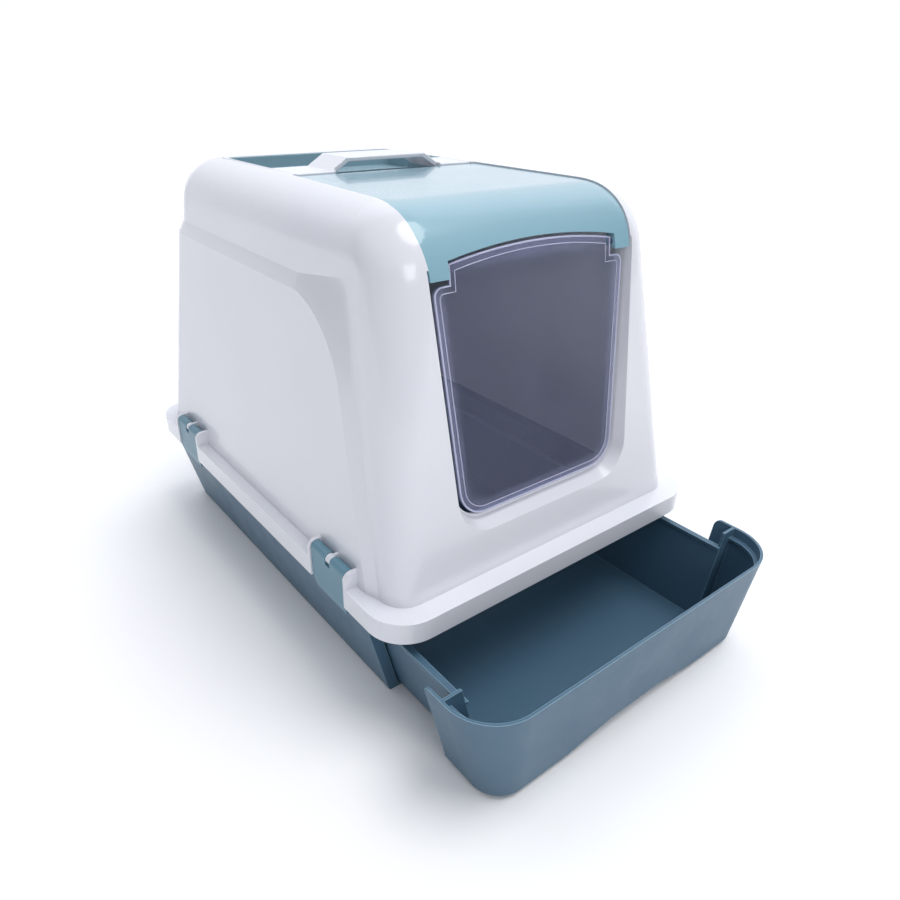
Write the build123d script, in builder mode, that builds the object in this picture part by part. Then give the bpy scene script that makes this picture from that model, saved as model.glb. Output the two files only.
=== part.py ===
"""Hooded litter box with a pull-out drawer.

Millimetres, +Z up, floor at z = 0, x = 0 on the plane of symmetry, y = 0 at the middle of the
hood's flange, and the entrance and the drawer at the -Y end. The drawer is drawn pulled out.
"""
from math import atan, cos, pi, radians, sin, sqrt, tan
import os

from build123d import *

os.makedirs("parts", exist_ok=True)

# ------------------------------------------------------------------ walls, clearances, drafts
HOOD_WALL = 2.8
TRAY_WALL = 2.6
SEAT_GAP = 0.3  # between pieces that rest on one another and come apart
PIN_PLAY = 0.05  # radial running clearance of a moulded pin in its hole
SIDE_DRAFT = 13.75  # degrees, long sides of the base and the drawer
END_DRAFT = 6.6  # degrees, front and rear of the base and the drawer

# ------------------------------------------------------------------ flange and base
FLANGE_WIDTH = 390.0
FLANGE_LENGTH = 540.0
FLANGE_RADIUS = 37.5
SKIRT_WALL = 3.0
SKIRT_DEPTH = 20.0
RIB_WALL = 2.4  # rib that locates the hood inside the base's rim
RIM_Z = 103.0  # lower edge of the hood's skirt, and the top of the tapered base walls
BASE_INSET = 7.0  # base wall behind the skirt's outer face
BASE_RADIUS_TOP = 34.0
BASE_RADIUS_BOTTOM = 22.0
BASE_FLOOR = 2.5
BASE_EDGE_RADIUS = 4.0
MOUTH_SETBACK = 58.0  # front ends of the base's side walls, behind the flange's front
RETURN_WIDTH = 10.5  # front-facing return on each side wall
RUNNER_X = 100.0
RUNNER_WIDTH = 6.0
RUNNER_HEIGHT = 0.5

# ------------------------------------------------------------------ drawer
DRAWER_OUT = 110.0  # how far the drawer is drawn pulled out
DRAWER_LIP_GAP = 0.7  # drawer's front rim below the skirt
WING_GAP = 2.4  # base wall to the inside of the drawer's wing
DRAWER_REAR_GAP = 28.0  # tray's rear rim to the base's rear wall when closed
FRONT_BOX_DEPTH = 53.0  # full-width part of the drawer, front to back
WING_LENGTH = 20.0  # wing plates behind the full-width part
TRAY_RIM_DROP = 16.0  # tray's side rim below the base's
TRAY_SIDE_GAP = 12.5  # drawer's side wall to the base's outer face
DRAWER_RADIUS_TOP = 46.0
DRAWER_RADIUS_BOTTOM = 27.6
TRAY_RADIUS = 26.0
FINGER_ARCH_FLAT = 35.0
FINGER_ARCH_HALF = 105.0
FINGER_ARCH_RISE = 12.0
FINGER_ARCH_DEPTH = 32.0
FINGER_ARCH_ROUND = 150.0
DRAWER_EDGE_RADIUS = 4.0
RIM_BEAD_OUT = 0.5  # tray's rim bead outside the tray's wall
RIM_BEAD_WIDTH = 6.0
RIM_BEAD_HEIGHT = 3.0
WING_LEDGE_DROP = 9.0  # ledge inside the wings, below their rim
WING_LEDGE_WIDTH = 6.0
WING_LEDGE_THICKNESS = 2.6
WING_CORNER_RADIUS = 7.0

# ------------------------------------------------------------------ entry grille
GRILLE_DEPTH = 113.0  # flange's front to the grille's rear edge
GRILLE_THICKNESS = 3.0
LEDGE_DROP = 11.0  # grille's ledge below the flange
LEDGE_WIDTH = 10.0
LEDGE_THICKNESS = 2.6
SLOT_PITCH = 7.0
SLOT_WIDTH = 3.4
SLOT_LENGTH = 76.0
GRILLE_LIP = 7.0

# ------------------------------------------------------------------ hood form
HOOD_TOP = 429.0
SHELF_FRONT = 17.0  # flange's shelf outside the hood's side walls, front and rear
SHELF_REAR = 18.0
SHELF_END = 20.0  # flange's shelf outside the hood's end walls
SLOPE_FRONT_SIDE = 0.090  # inward lean of the side walls per unit of height, front and rear
SLOPE_REAR_SIDE = 0.121
SLOPE_FRONT = 0.161
SLOPE_REAR = 0.072
ROUND_SIDE = 45.0
ROUND_FRONT = 62.0
ROUND_REAR = 45.0
ROUND_STEPS = 6  # sections through the rounding into the top
CORNER_LOW = 24.0
CORNER_HIGH = 44.0
PANEL_PROUD = 5.0
PANEL_TOP_DROP = 79.0  # proud panel's top edge below the hood's top
PANEL_BAND = 13.0  # width of the sloped band round the proud panel
PANEL_CORNER_SETBACK = 113.0  # where the panel's front edge would meet its top edge
PANEL_CORNER_RADIUS = 95.0
PANEL_LEAN = 0.286  # forward reach of the panel's front edge per unit of height downwards
PANEL_TOP_MARGIN = 1.0  # the side outline's top edge above the level band that cuts it
PANEL_REAR_SETBACK = 100.0  # from here the panel runs round the rear corner

# ------------------------------------------------------------------ entrance and lid cut-out
SILL_RISE = 46.5  # sill above the flange
SILL_MARGIN = 81.5  # margins are from the hood's side wall at the flange
SILL_RADIUS = 30.0
EAR_DROP = 52.5  # lower end of the lid's ears, below the hood's top
EAR_MARGIN = 65.0
EAR_WIDTH = 18.5
LID_SHOULDER_DROP = 21.0
LID_MARGIN_FRONT = 62.5
LID_MARGIN_REAR = 69.8
LID_BEND_SETBACK = 85.0  # where the lid's front rounding has run out, behind the hood's front
LID_GAP = 0.8
LID_SUNK = 1.5
LID_WALL = 2.6
BEVEL_DEPTH = 15.0
BEVEL_WIDTH = 7.5
LIP_WIDTH = 6.0

# ------------------------------------------------------------------ lid hinge, door and door pins
BARREL_RADIUS = 4.0
BARREL_DROP = 4.5  # lid's hinge axis below the lid's top
BARREL_Y = 4.0
BARREL_PIN_RADIUS = 2.5
BARREL_PIN_LENGTH = 4.5
DOOR_PIN_INSET = 7.3  # door's pins behind the hood's front wall
DOOR_PIN_DROP = 47.0  # door's pins below the hood's top
DOOR_PIN_RADIUS = 2.5
DOOR_GAP = 2.6
DOOR_THICKNESS = 2.4
DOOR_NECK_GAP = 2.1  # door's neck to the lid's ears
DOOR_NECK_RISE = 5.0  # door's top corners above its pins
DOOR_ARCH_RISE = 7.7
DOOR_SHOULDER_GAP = 4.5
DOOR_SHOULDER_DROP = 11.0  # door's shoulders below its pins
DOOR_SHOULDER_RADIUS = 8.0
DOOR_CORNER_RADIUS = 28.0
DOOR_BORDER = 6.0
EAR_BOSS = 5.5

# ------------------------------------------------------------------ clips
CLIP_SETBACK = 105.0  # middle of each clip, from the flange's end
CLIP_HALF = 28.2
CLIP_SIDE_GAP = 0.7
CLIP_PIVOT_INSET = 7.0  # pivot behind the skirt's outer face
CLIP_PIVOT_RISE = 11.0  # pivot above the flange
CLIP_BARREL = 5.5
CLIP_PLATE = 2.8
CLIP_FOOT_DROP = 9.0  # foot below the skirt's edge
CLIP_PIN_RADIUS = 2.0
CLIP_PIN_LENGTH = 2.4
CHEEK = 4.0
CHEEK_ROUND = 8.0
CATCH_HALF = 15.0
CATCH_DROP = 5.5
CATCH_HEIGHT = 3.0
LUG_HALF = 3.5  # white lug in the notch of each clip's top
LUG_GAP = 0.7
LUG_RADIUS = 4.8
LUG_BRIDGE_HALF = 1.5
CLIP_CUT_WIDTH = 6.0  # slanted cut at each clip's lower rear corner
CLIP_CUT_HEIGHT = 14.0

# ------------------------------------------------------------------ well, handle and filter
WELL_MARGIN = 74.0
WELL_REAR_SETBACK = 80.0
GRIP_LENGTH = 62.6  # lid's hinge axis to the filter's well
WELL_RADIUS = 10.0
GRIP_DEPTH = 17.0
FILTER_DEPTH = 31.0
HANDLE_REAR_GAP = 4.6
HANDLE_THICKNESS = 4.0
HANDLE_RISE = 11.0
HANDLE_HALF_TOP = 44.0
HANDLE_HALF_FOOT = 62.0
HANDLE_FRONT_SETBACK = 6.0
HANDLE_LEG = 9.0
COVER_WALL = 2.2
COVER_DEPTH = 19.7
COVER_DROP = 0.6  # cover's rim below the hood's top
COVER_LOW_WALL = 8.0
VENT_WIDTH = 4.0
VENT_LENGTH = 42.0
VENT_PITCH = 10.0
FILTER_SIDE_PLAY = 16.0
FILTER_END_PLAY = 11.7
FILTER_THICKNESS = 9.5

# ------------------------------------------------------------------ worked-out sizes
FLANGE_HALF_W = FLANGE_WIDTH / 2
FLANGE_HALF_L = FLANGE_LENGTH / 2
FLANGE_Z = RIM_Z + SKIRT_DEPTH
FLANGE_PLATE = HOOD_WALL
BASE_HALF_W = FLANGE_HALF_W - BASE_INSET
BASE_HALF_L = FLANGE_HALF_L - BASE_INSET
BASE_RIM_TOP = FLANGE_Z - FLANGE_PLATE - SEAT_GAP
MOUTH_Y = MOUTH_SETBACK - FLANGE_HALF_L
SIDE_RATE = tan(radians(SIDE_DRAFT))
END_RATE = tan(radians(END_DRAFT))

DRAWER_TOP_Z = RIM_Z - DRAWER_LIP_GAP
DRAWER_BOTTOM_Z = BASE_FLOOR + RUNNER_HEIGHT + SEAT_GAP
WING_HALF = BASE_HALF_W + WING_GAP + TRAY_WALL
DRAWER_FRONT_Y = -(FLANGE_HALF_L - 1.0) - DRAWER_OUT
JOG_Y = DRAWER_FRONT_Y + FRONT_BOX_DEPTH
WING_END_Y = JOG_Y + WING_LENGTH
TRAY_REAR_Y = BASE_HALF_L - DRAWER_REAR_GAP - DRAWER_OUT
TRAY_RIM_Z = RIM_Z - TRAY_RIM_DROP
TRAY_HALF_W = BASE_HALF_W - TRAY_RIM_DROP * SIDE_RATE - TRAY_SIDE_GAP
GRILLE_HALF = BASE_HALF_W - TRAY_WALL - 0.5
GRILLE_REAR_Y = GRILLE_DEPTH - FLANGE_HALF_L
GRILLE_LEDGE_Z = FLANGE_Z - LEDGE_DROP

HOOD_HALF_FRONT = FLANGE_HALF_W - SHELF_FRONT  # half widths at the flange
HOOD_HALF_REAR = FLANGE_HALF_W - SHELF_REAR
HOOD_HALF_LENGTH = FLANGE_HALF_L - SHELF_END
PANEL_TOP_Z = HOOD_TOP - PANEL_TOP_DROP
PANEL_CORNER_Y = PANEL_CORNER_SETBACK - HOOD_HALF_LENGTH
PANEL_REAR_Y = HOOD_HALF_LENGTH - PANEL_REAR_SETBACK
SILL_Z = FLANGE_Z + SILL_RISE
SILL_HALF = HOOD_HALF_FRONT - SILL_MARGIN
EAR_Z = HOOD_TOP - EAR_DROP
EAR_HALF = HOOD_HALF_FRONT - EAR_MARGIN
EAR_INNER = EAR_HALF - EAR_WIDTH
LID_SHOULDER_Z = HOOD_TOP - LID_SHOULDER_DROP
LID_HALF_FRONT = HOOD_HALF_FRONT - LID_MARGIN_FRONT
LID_HALF_REAR = HOOD_HALF_FRONT - LID_MARGIN_REAR
LID_BEND_Y = LID_BEND_SETBACK - HOOD_HALF_LENGTH
BARREL_Z = HOOD_TOP - LID_SUNK - BARREL_DROP
LID_REAR_EDGE_Y = BARREL_Y + BARREL_DROP  # as far as the lid's rear edge swings
CUT_REAR_Y = LID_REAR_EDGE_Y + 0.5
DOOR_PIN_Z = HOOD_TOP - DOOR_PIN_DROP
DOOR_PIN_Y = SLOPE_FRONT * (DOOR_PIN_Z - FLANGE_Z) + DOOR_PIN_INSET - HOOD_HALF_LENGTH
DOOR_NECK_Z = DOOR_PIN_Z + DOOR_NECK_RISE
DOOR_NECK_HALF = EAR_INNER - DOOR_NECK_GAP
DOOR_SHOULDER_Z = DOOR_PIN_Z - DOOR_SHOULDER_DROP
DOOR_SHOULDER_HALF = EAR_HALF - DOOR_SHOULDER_GAP

CLIP_Y = FLANGE_HALF_L - CLIP_SETBACK
CLIP_PIVOT_X = FLANGE_HALF_W - CLIP_PIVOT_INSET
CLIP_PIVOT_Z = FLANGE_Z + CLIP_PIVOT_RISE
CLIP_FOOT_Z = RIM_Z - CLIP_FOOT_DROP
CATCH_Z = RIM_Z - CATCH_DROP
CHEEK_START = CLIP_HALF + CLIP_SIDE_GAP

WELL_HALF = HOOD_HALF_FRONT - WELL_MARGIN
WELL_REAR_Y = HOOD_HALF_LENGTH - WELL_REAR_SETBACK
WELL_STEP_Y = BARREL_Y + GRIP_LENGTH
GRIP_FLOOR_Z = HOOD_TOP - GRIP_DEPTH
FILTER_FLOOR_Z = HOOD_TOP - FILTER_DEPTH
COVER_FLOOR_Z = HOOD_TOP - COVER_DEPTH
HANDLE_REAR_Y = WELL_STEP_Y - HANDLE_REAR_GAP
FILTER_LENGTH = 2 * (WELL_HALF - FILTER_SIDE_PLAY)
FILTER_WIDTH = WELL_REAR_Y - WELL_STEP_Y - 2 * FILTER_END_PLAY
SIDES = {"left": -1, "right": 1}
ENDS = {"front": -1, "rear": 1}


# ------------------------------------------------------------------ outline helpers
def rounded_outline(plane: Plane, corners, radii) -> Sketch:
    """A closed outline of straight runs on `plane`, each corner rounded by its own radius."""
    with BuildSketch(plane) as outline:
        with BuildLine():
            Polyline(*corners, close=True)
        make_face()
        for corner, radius in zip(corners, radii):
            if radius > 0:
                fillet(outline.vertices().sort_by_distance(Vector(*corner))[0], radius)
    return outline.sketch


def level(z: float) -> Plane:
    """A horizontal plane at height z."""
    return Plane.XY.offset(z)


def box_outline(z: float, half_w: float, front: float, rear: float, r_front: float, r_rear: float) -> Sketch:
    """A rounded rectangle at height z from y = front to y = rear."""
    corners = [(-half_w, front), (half_w, front), (half_w, rear), (-half_w, rear)]
    return rounded_outline(level(z), corners, [r_front, r_front, r_rear, r_rear])


def rounded_offset(z: float, at_flange: float, slope: float, radius: float, grow: float) -> float:
    """Distance of one hood wall from the middle at height z: a sloped line, then an arc into the top."""
    top = HOOD_TOP + grow
    big = radius + grow
    line_top = at_flange - slope * (top - FLANGE_Z) + grow * sqrt(1 + slope**2)
    tangent = big * tan((pi / 2 - atan(slope)) / 2)
    arc_start = top - tangent * cos(atan(slope))
    if z <= arc_start:
        return line_top + slope * (top - z)
    rise = z - (top - big)
    return line_top - tangent + sqrt(max(0.0, big**2 - rise**2))


def hood_outline(z: float, grow: float) -> Sketch:
    """The hood's plan at height z, grown outwards by `grow`."""
    front_w = rounded_offset(z, HOOD_HALF_FRONT, SLOPE_FRONT_SIDE, ROUND_SIDE, grow)
    rear_w = rounded_offset(z, HOOD_HALF_REAR, SLOPE_REAR_SIDE, ROUND_SIDE, grow)
    front_y = rounded_offset(z, HOOD_HALF_LENGTH, SLOPE_FRONT, ROUND_FRONT, grow)
    rear_y = rounded_offset(z, HOOD_HALF_LENGTH, SLOPE_REAR, ROUND_REAR, grow)
    share = (z - FLANGE_Z) / (HOOD_TOP - FLANGE_Z)
    wall_w = HOOD_HALF_REAR - SLOPE_REAR_SIDE * (z - FLANGE_Z) + grow
    corner = CORNER_LOW + (CORNER_HIGH - CORNER_LOW) * share + grow - 0.75 * max(0.0, wall_w - rear_w)
    corner = max(corner, 6.0)
    corners = [(-front_w, -front_y), (front_w, -front_y), (rear_w, rear_y), (-rear_w, rear_y)]
    return rounded_outline(level(z), corners, [corner] * 4)


def hood_form(grow: float, bottom: float = FLANGE_Z) -> Part:
    """The closed form of the hood from `bottom` to its top, grown outwards by `grow`."""
    top = HOOD_TOP + grow
    big = ROUND_FRONT + grow
    lean = atan(SLOPE_FRONT)
    turns = [lean + (pi / 2 - lean) * step / ROUND_STEPS for step in range(ROUND_STEPS + 1)]
    sections = [hood_outline(top - big * (1 - sin(turn)), grow) for turn in turns]
    with BuildPart() as form:
        loft(sections=[hood_outline(bottom, grow), sections[0]])
        loft(sections=sections)
    return form.part


def prism(sketch: Sketch, amount: float) -> Part:
    """A straight prism on a sketch, along the sketch's normal."""
    with BuildPart() as block:
        extrude(to_extrude=sketch, amount=amount)
    return block.part


def front_plane(y: float) -> Plane:
    """A plane facing the entrance side, with local x along X and local y along Z."""
    return Plane(origin=(0, y, 0), x_dir=(1, 0, 0), z_dir=(0, -1, 0))


def solid_box(x0: float, x1: float, y0: float, y1: float, z0: float, z1: float, mode=Mode.ADD) -> None:
    """A block between two corners, joined to or cut from the part being built."""
    with Locations(((x0 + x1) / 2, (y0 + y1) / 2, (z0 + z1) / 2)):
        Box(abs(x1 - x0), abs(y1 - y0), abs(z1 - z0), mode=mode)


def save(builder: BuildPart, name: str) -> None:
    """Label a finished piece and write it."""
    builder.part.label = name
    export_step(builder.part, f"parts/{name}.step")


# ------------------------------------------------------------------ base tray
def base_outline(z: float, inset: float) -> Sketch:
    """The base's plan at height z: tapered up to the skirt's edge, upright above it."""
    drop = max(0.0, RIM_Z - z)
    radius = BASE_RADIUS_TOP - (BASE_RADIUS_TOP - BASE_RADIUS_BOTTOM) * drop / RIM_Z - inset
    half_l = BASE_HALF_L - drop * END_RATE - inset
    return box_outline(z, BASE_HALF_W - drop * SIDE_RATE - inset, -half_l, half_l, radius, radius)


with BuildPart() as base_tray:
    loft(sections=[base_outline(0, 0), base_outline(RIM_Z, 0)])
    fillet(base_tray.faces().sort_by(Axis.Z)[0].edges(), BASE_EDGE_RADIUS)
    extrude(to_extrude=base_outline(RIM_Z, 0), amount=BASE_RIM_TOP - RIM_Z)
    loft(sections=[base_outline(BASE_FLOOR, TRAY_WALL), base_outline(RIM_Z, TRAY_WALL)], mode=Mode.SUBTRACT)
    extrude(to_extrude=base_outline(RIM_Z, TRAY_WALL), amount=SKIRT_DEPTH, mode=Mode.SUBTRACT)
    # the drawer's mouth, below the front bar of the rim
    solid_box(-FLANGE_HALF_W, FLANGE_HALF_W, -FLANGE_HALF_L, MOUTH_Y, -1, RIM_Z + 0.6, mode=Mode.SUBTRACT)
    # ledge for the entry grille, inside the rim
    ledge_end = GRILLE_REAR_Y + 5
    with BuildSketch(level(GRILLE_LEDGE_Z - LEDGE_THICKNESS)) as ledge:
        add(base_outline(RIM_Z, TRAY_WALL - 0.5).moved(Location((0, 0, -RIM_Z))))
        add(base_outline(RIM_Z, TRAY_WALL + LEDGE_WIDTH).moved(Location((0, 0, -RIM_Z))), mode=Mode.SUBTRACT)
        with Locations((0, ledge_end + FLANGE_HALF_L)):
            Rectangle(FLANGE_WIDTH, FLANGE_LENGTH, mode=Mode.SUBTRACT)
    extrude(amount=LEDGE_THICKNESS)
    for side in SIDES.values():
        # front-facing return on the end of each side wall
        bottom_x = BASE_HALF_W - RIM_Z * SIDE_RATE
        with BuildSketch(front_plane(MOUTH_Y + TRAY_WALL)):
            with BuildLine():
                Polyline(
                    (side * (bottom_x - 1), 1.0),
                    (side * (BASE_HALF_W - 1), RIM_Z + 0.6),
                    (side * (BASE_HALF_W - RETURN_WIDTH), RIM_Z + 0.6),
                    (side * (bottom_x - RETURN_WIDTH), 1.0),
                    close=True,
                )
            make_face()
        extrude(amount=TRAY_WALL)
        # runner that carries the drawer
        x = side * RUNNER_X
        solid_box(
            x - RUNNER_WIDTH / 2, x + RUNNER_WIDTH / 2,
            MOUTH_Y + 4, BASE_HALF_L - RIM_Z * END_RATE - 8,
            BASE_FLOOR - 0.5, BASE_FLOOR + RUNNER_HEIGHT,
        )
        # catches under the four clips
        for end in ENDS.values():
            catch_out = CLIP_PIVOT_X + CLIP_BARREL - CLIP_PLATE - 0.8
            catch_in = BASE_HALF_W - (RIM_Z - CATCH_Z) * SIDE_RATE - 1.5
            solid_box(
                side * catch_in, side * catch_out,
                end * CLIP_Y - CATCH_HALF, end * CLIP_Y + CATCH_HALF,
                CATCH_Z, CATCH_Z + CATCH_HEIGHT,
            )
save(base_tray, "base_tray")


# ------------------------------------------------------------------ entry grille
grille_z = GRILLE_LEDGE_Z + SEAT_GAP
grille_front = -(BASE_HALF_L - TRAY_WALL - 0.5)
with BuildPart() as entry_grille:
    add(prism(
        box_outline(grille_z, GRILLE_HALF, grille_front, GRILLE_REAR_Y, BASE_RADIUS_TOP - TRAY_WALL, 2.0),
        GRILLE_THICKNESS,
    ))
    lip_half = BASE_HALF_W - TRAY_WALL - LEDGE_WIDTH - 1.0
    solid_box(-lip_half, lip_half, GRILLE_REAR_Y - 3, GRILLE_REAR_Y, grille_z - GRILLE_LIP, grille_z + 1)
    slot_count = int((2 * (lip_half - 4)) // SLOT_PITCH)
    with BuildSketch(level(grille_z)):
        with Locations((0, GRILLE_REAR_Y - 6 - SLOT_LENGTH / 2)):
            with GridLocations(SLOT_PITCH, 1, slot_count, 1):
                Rectangle(SLOT_WIDTH, SLOT_LENGTH)
    extrude(amount=GRILLE_THICKNESS, mode=Mode.SUBTRACT)
save(entry_grille, "entry_grille")


# ------------------------------------------------------------------ drawer
def front_box(z: float, inset: float, rear: float, narrow: float = 0) -> Sketch:
    """The drawer's full-width front part at height z, from its front wall back to y = rear."""
    drop = DRAWER_TOP_Z - z
    half_w = WING_HALF - drop * SIDE_RATE - inset - narrow
    front = DRAWER_FRONT_Y + drop * END_RATE + inset
    share = drop / (DRAWER_TOP_Z - DRAWER_BOTTOM_Z)
    radius = DRAWER_RADIUS_TOP - (DRAWER_RADIUS_TOP - DRAWER_RADIUS_BOTTOM) * share - inset
    return box_outline(z, half_w, front, rear, radius, 0)


def tray_box(z: float, inset: float) -> Sketch:
    """The drawer's main tray at height z, running forward into the front part."""
    drop = TRAY_RIM_Z - z
    half_w = TRAY_HALF_W - drop * SIDE_RATE - inset
    rear = TRAY_REAR_Y - drop * END_RATE - inset
    return box_outline(z, half_w, JOG_Y - 12, rear, 0, TRAY_RADIUS - inset)


def finger_arch(clear: float, depth: float) -> Part:
    """The hollow under the drawer's front that fingers reach into, grown by `clear`."""
    low = DRAWER_BOTTOM_Z - 1
    high = DRAWER_BOTTOM_Z + FINGER_ARCH_RISE + clear
    half, flat = FINGER_ARCH_HALF + clear, FINGER_ARCH_FLAT + clear
    corners = [(-half, low), (-flat, high), (flat, high), (half, low)]
    with BuildPart() as arch:
        plane = front_plane(DRAWER_FRONT_Y + depth)
        radii = [0, FINGER_ARCH_ROUND, FINGER_ARCH_ROUND, 0]
        extrude(to_extrude=rounded_outline(plane, corners, radii), amount=depth + 5)
    return arch.part


with BuildPart() as drawer_cavity:
    cavity_floor = DRAWER_BOTTOM_Z + TRAY_WALL
    above = DRAWER_TOP_Z + 2
    jog_front = JOG_Y - TRAY_WALL
    loft(sections=[front_box(cavity_floor, TRAY_WALL, jog_front), front_box(above, TRAY_WALL, jog_front)])
    loft(sections=[tray_box(cavity_floor, TRAY_WALL), tray_box(above, TRAY_WALL)])
    add(finger_arch(TRAY_WALL, FINGER_ARCH_DEPTH + TRAY_WALL), mode=Mode.SUBTRACT)

with BuildPart() as tray_form:
    loft(sections=[tray_box(DRAWER_BOTTOM_Z, 0), tray_box(TRAY_RIM_Z, 0)])
    fillet(tray_form.faces().sort_by(Axis.Z)[0].edges(), DRAWER_EDGE_RADIUS)

with BuildPart() as wing_pocket:
    loft(sections=[
        front_box(DRAWER_BOTTOM_Z - 1, TRAY_WALL, WING_END_Y + 1),
        front_box(above, TRAY_WALL, WING_END_Y + 1),
    ])
    solid_box(
        -FLANGE_HALF_W, FLANGE_HALF_W, DRAWER_FRONT_Y - 10, JOG_Y, -1, FLANGE_Z, mode=Mode.SUBTRACT,
    )

with BuildPart() as rim_bead:
    # flat bead along the tray's side and rear rims
    add(prism(tray_box(TRAY_RIM_Z, -RIM_BEAD_OUT), -RIM_BEAD_HEIGHT))
    add(prism(tray_box(TRAY_RIM_Z, RIM_BEAD_WIDTH - RIM_BEAD_OUT), -RIM_BEAD_HEIGHT), mode=Mode.SUBTRACT)
    solid_box(
        -FLANGE_HALF_W, FLANGE_HALF_W, DRAWER_FRONT_Y, jog_front, 0, FLANGE_Z, mode=Mode.SUBTRACT,
    )

with BuildPart() as wing_ledge:
    # ledge inside the front part's side walls, running out round its front corners
    ledge_z = DRAWER_TOP_Z - WING_LEDGE_DROP
    ledge_rear = jog_front + 0.5
    add(prism(front_box(ledge_z, TRAY_WALL - 0.5, ledge_rear), -WING_LEDGE_THICKNESS))
    add(
        prism(front_box(ledge_z, TRAY_WALL - 0.5, ledge_rear, WING_LEDGE_WIDTH), -WING_LEDGE_THICKNESS),
        mode=Mode.SUBTRACT,
    )

with BuildPart() as drawer_tray:
    loft(sections=[front_box(DRAWER_BOTTOM_Z, 0, WING_END_Y), front_box(DRAWER_TOP_Z, 0, WING_END_Y)])
    fillet(drawer_tray.faces().sort_by(Axis.Z)[-1].edges().sort_by(Axis.Y)[-1], WING_CORNER_RADIUS)
    fillet(drawer_tray.faces().sort_by(Axis.Z)[0].edges(), DRAWER_EDGE_RADIUS)
    add(wing_pocket.part, mode=Mode.SUBTRACT)
    add(tray_form.part)
    add(finger_arch(0, FINGER_ARCH_DEPTH), mode=Mode.SUBTRACT)
    add(drawer_cavity.part, mode=Mode.SUBTRACT)
    add(rim_bead.part)
    add(wing_ledge.part)
save(drawer_tray, "drawer_tray")


# ------------------------------------------------------------------ hood shell
def entrance_outline(grow: float, top: float) -> list:
    """Corners of the entrance seen from the front, from the sill up to z = top."""
    lean = (EAR_HALF + LID_GAP - SILL_HALF) / (EAR_Z - SILL_Z)
    low = SILL_Z - grow
    half_low = SILL_HALF + grow - lean * grow
    half_top = LID_HALF_FRONT + LID_GAP + grow
    return [
        (-half_low, low), (half_low, low),
        (EAR_HALF + LID_GAP + grow, EAR_Z), (half_top, LID_SHOULDER_Z), (half_top, top),
        (-half_top, top), (-half_top, LID_SHOULDER_Z), (-EAR_HALF - LID_GAP - grow, EAR_Z),
    ]


def lid_plan(z: float, front: float, rear: float, grow: float) -> Sketch:
    """The lid's plan, tapering to the rear, grown sideways by `grow`."""
    rate = (LID_HALF_FRONT - LID_HALF_REAR) / (BARREL_Y - LID_BEND_Y)
    front_half = LID_HALF_FRONT - rate * (front - LID_BEND_Y) + grow
    rear_half = LID_HALF_FRONT - rate * (rear - LID_BEND_Y) + grow
    corners = [(-front_half, front), (front_half, front), (rear_half, rear), (-rear_half, rear)]
    return rounded_outline(level(z), corners, [0] * 4)


def wall_x(y: float, z: float) -> float:
    """Half width of the hood's side wall at a place along it, below the rounding."""
    up = z - FLANGE_Z
    front_x, front_y = HOOD_HALF_FRONT - SLOPE_FRONT_SIDE * up, SLOPE_FRONT * up - HOOD_HALF_LENGTH
    rear_x, rear_y = HOOD_HALF_REAR - SLOPE_REAR_SIDE * up, HOOD_HALF_LENGTH - SLOPE_REAR * up
    return front_x + (rear_x - front_x) * (y - front_y) / (rear_y - front_y)


def side_plane(offset: float) -> Plane:
    """A plane along the right side wall, `offset` outside it, its origin at the panel's top edge."""
    front = Vector(wall_x(PANEL_CORNER_Y, PANEL_TOP_Z), PANEL_CORNER_Y, PANEL_TOP_Z)
    middle = Vector(wall_x(0, PANEL_TOP_Z), 0, PANEL_TOP_Z)
    low = Vector(wall_x(0, FLANGE_Z), 0, FLANGE_Z)
    along = (middle - front).normalized()
    normal = along.cross(middle - low).normalized()
    return Plane(origin=middle + normal * offset, x_dir=along, z_dir=normal)


def panel_outline(offset: float) -> Sketch:
    """The panel's outline on the side wall's plane at `offset`: the band falls as it leaves the wall."""
    spread = (PANEL_PROUD - offset) * PANEL_BAND / PANEL_PROUD
    top = spread + PANEL_TOP_MARGIN
    low = FLANGE_Z - PANEL_TOP_Z - 40
    rear = PANEL_REAR_Y + 10
    front_at = PANEL_CORNER_Y - spread * sqrt(1 + PANEL_LEAN**2)
    corners = [
        (front_at + top * PANEL_LEAN, top), (rear, top), (rear, low), (front_at + low * PANEL_LEAN, low),
    ]
    return rounded_outline(side_plane(offset), corners, [PANEL_CORNER_RADIUS + spread, 0, 0, 0])


hood_outer = hood_form(0)
hood_inner = hood_form(-HOOD_WALL, bottom=FLANGE_Z - FLANGE_PLATE - 0.5)

band_rate = PANEL_BAND / PANEL_PROUD
band_in = 2.0  # how far the band's slope runs on inside the wall
wall = side_plane(0)
band_low = PANEL_TOP_Z + PANEL_PROUD * wall.z_dir.Z
band_high = PANEL_TOP_Z + PANEL_BAND * wall.y_dir.Z

with BuildPart() as proud_form:
    # the panel as if it ran all round the hood: an upright part, then the level band
    loft(sections=[hood_outline(FLANGE_Z - 1, PANEL_PROUD), hood_outline(band_low, PANEL_PROUD)])
    loft(sections=[
        hood_outline(band_low, PANEL_PROUD), hood_outline(band_high + band_in * band_rate, -band_in),
    ])

with BuildPart() as side_panel:
    loft(sections=[panel_outline(-4.0), panel_outline(PANEL_PROUD + 9.0)])
    mirror(about=Plane.YZ)
    solid_box(
        -FLANGE_HALF_W, FLANGE_HALF_W, PANEL_REAR_Y, FLANGE_HALF_L, FLANGE_Z - 10, HOOD_TOP,
    )
    add(proud_form.part, mode=Mode.INTERSECT)

opening_plane_y = -(HOOD_HALF_LENGTH - SLOPE_FRONT * (SILL_Z - FLANGE_Z))
front_tilt = atan(SLOPE_FRONT)


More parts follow.
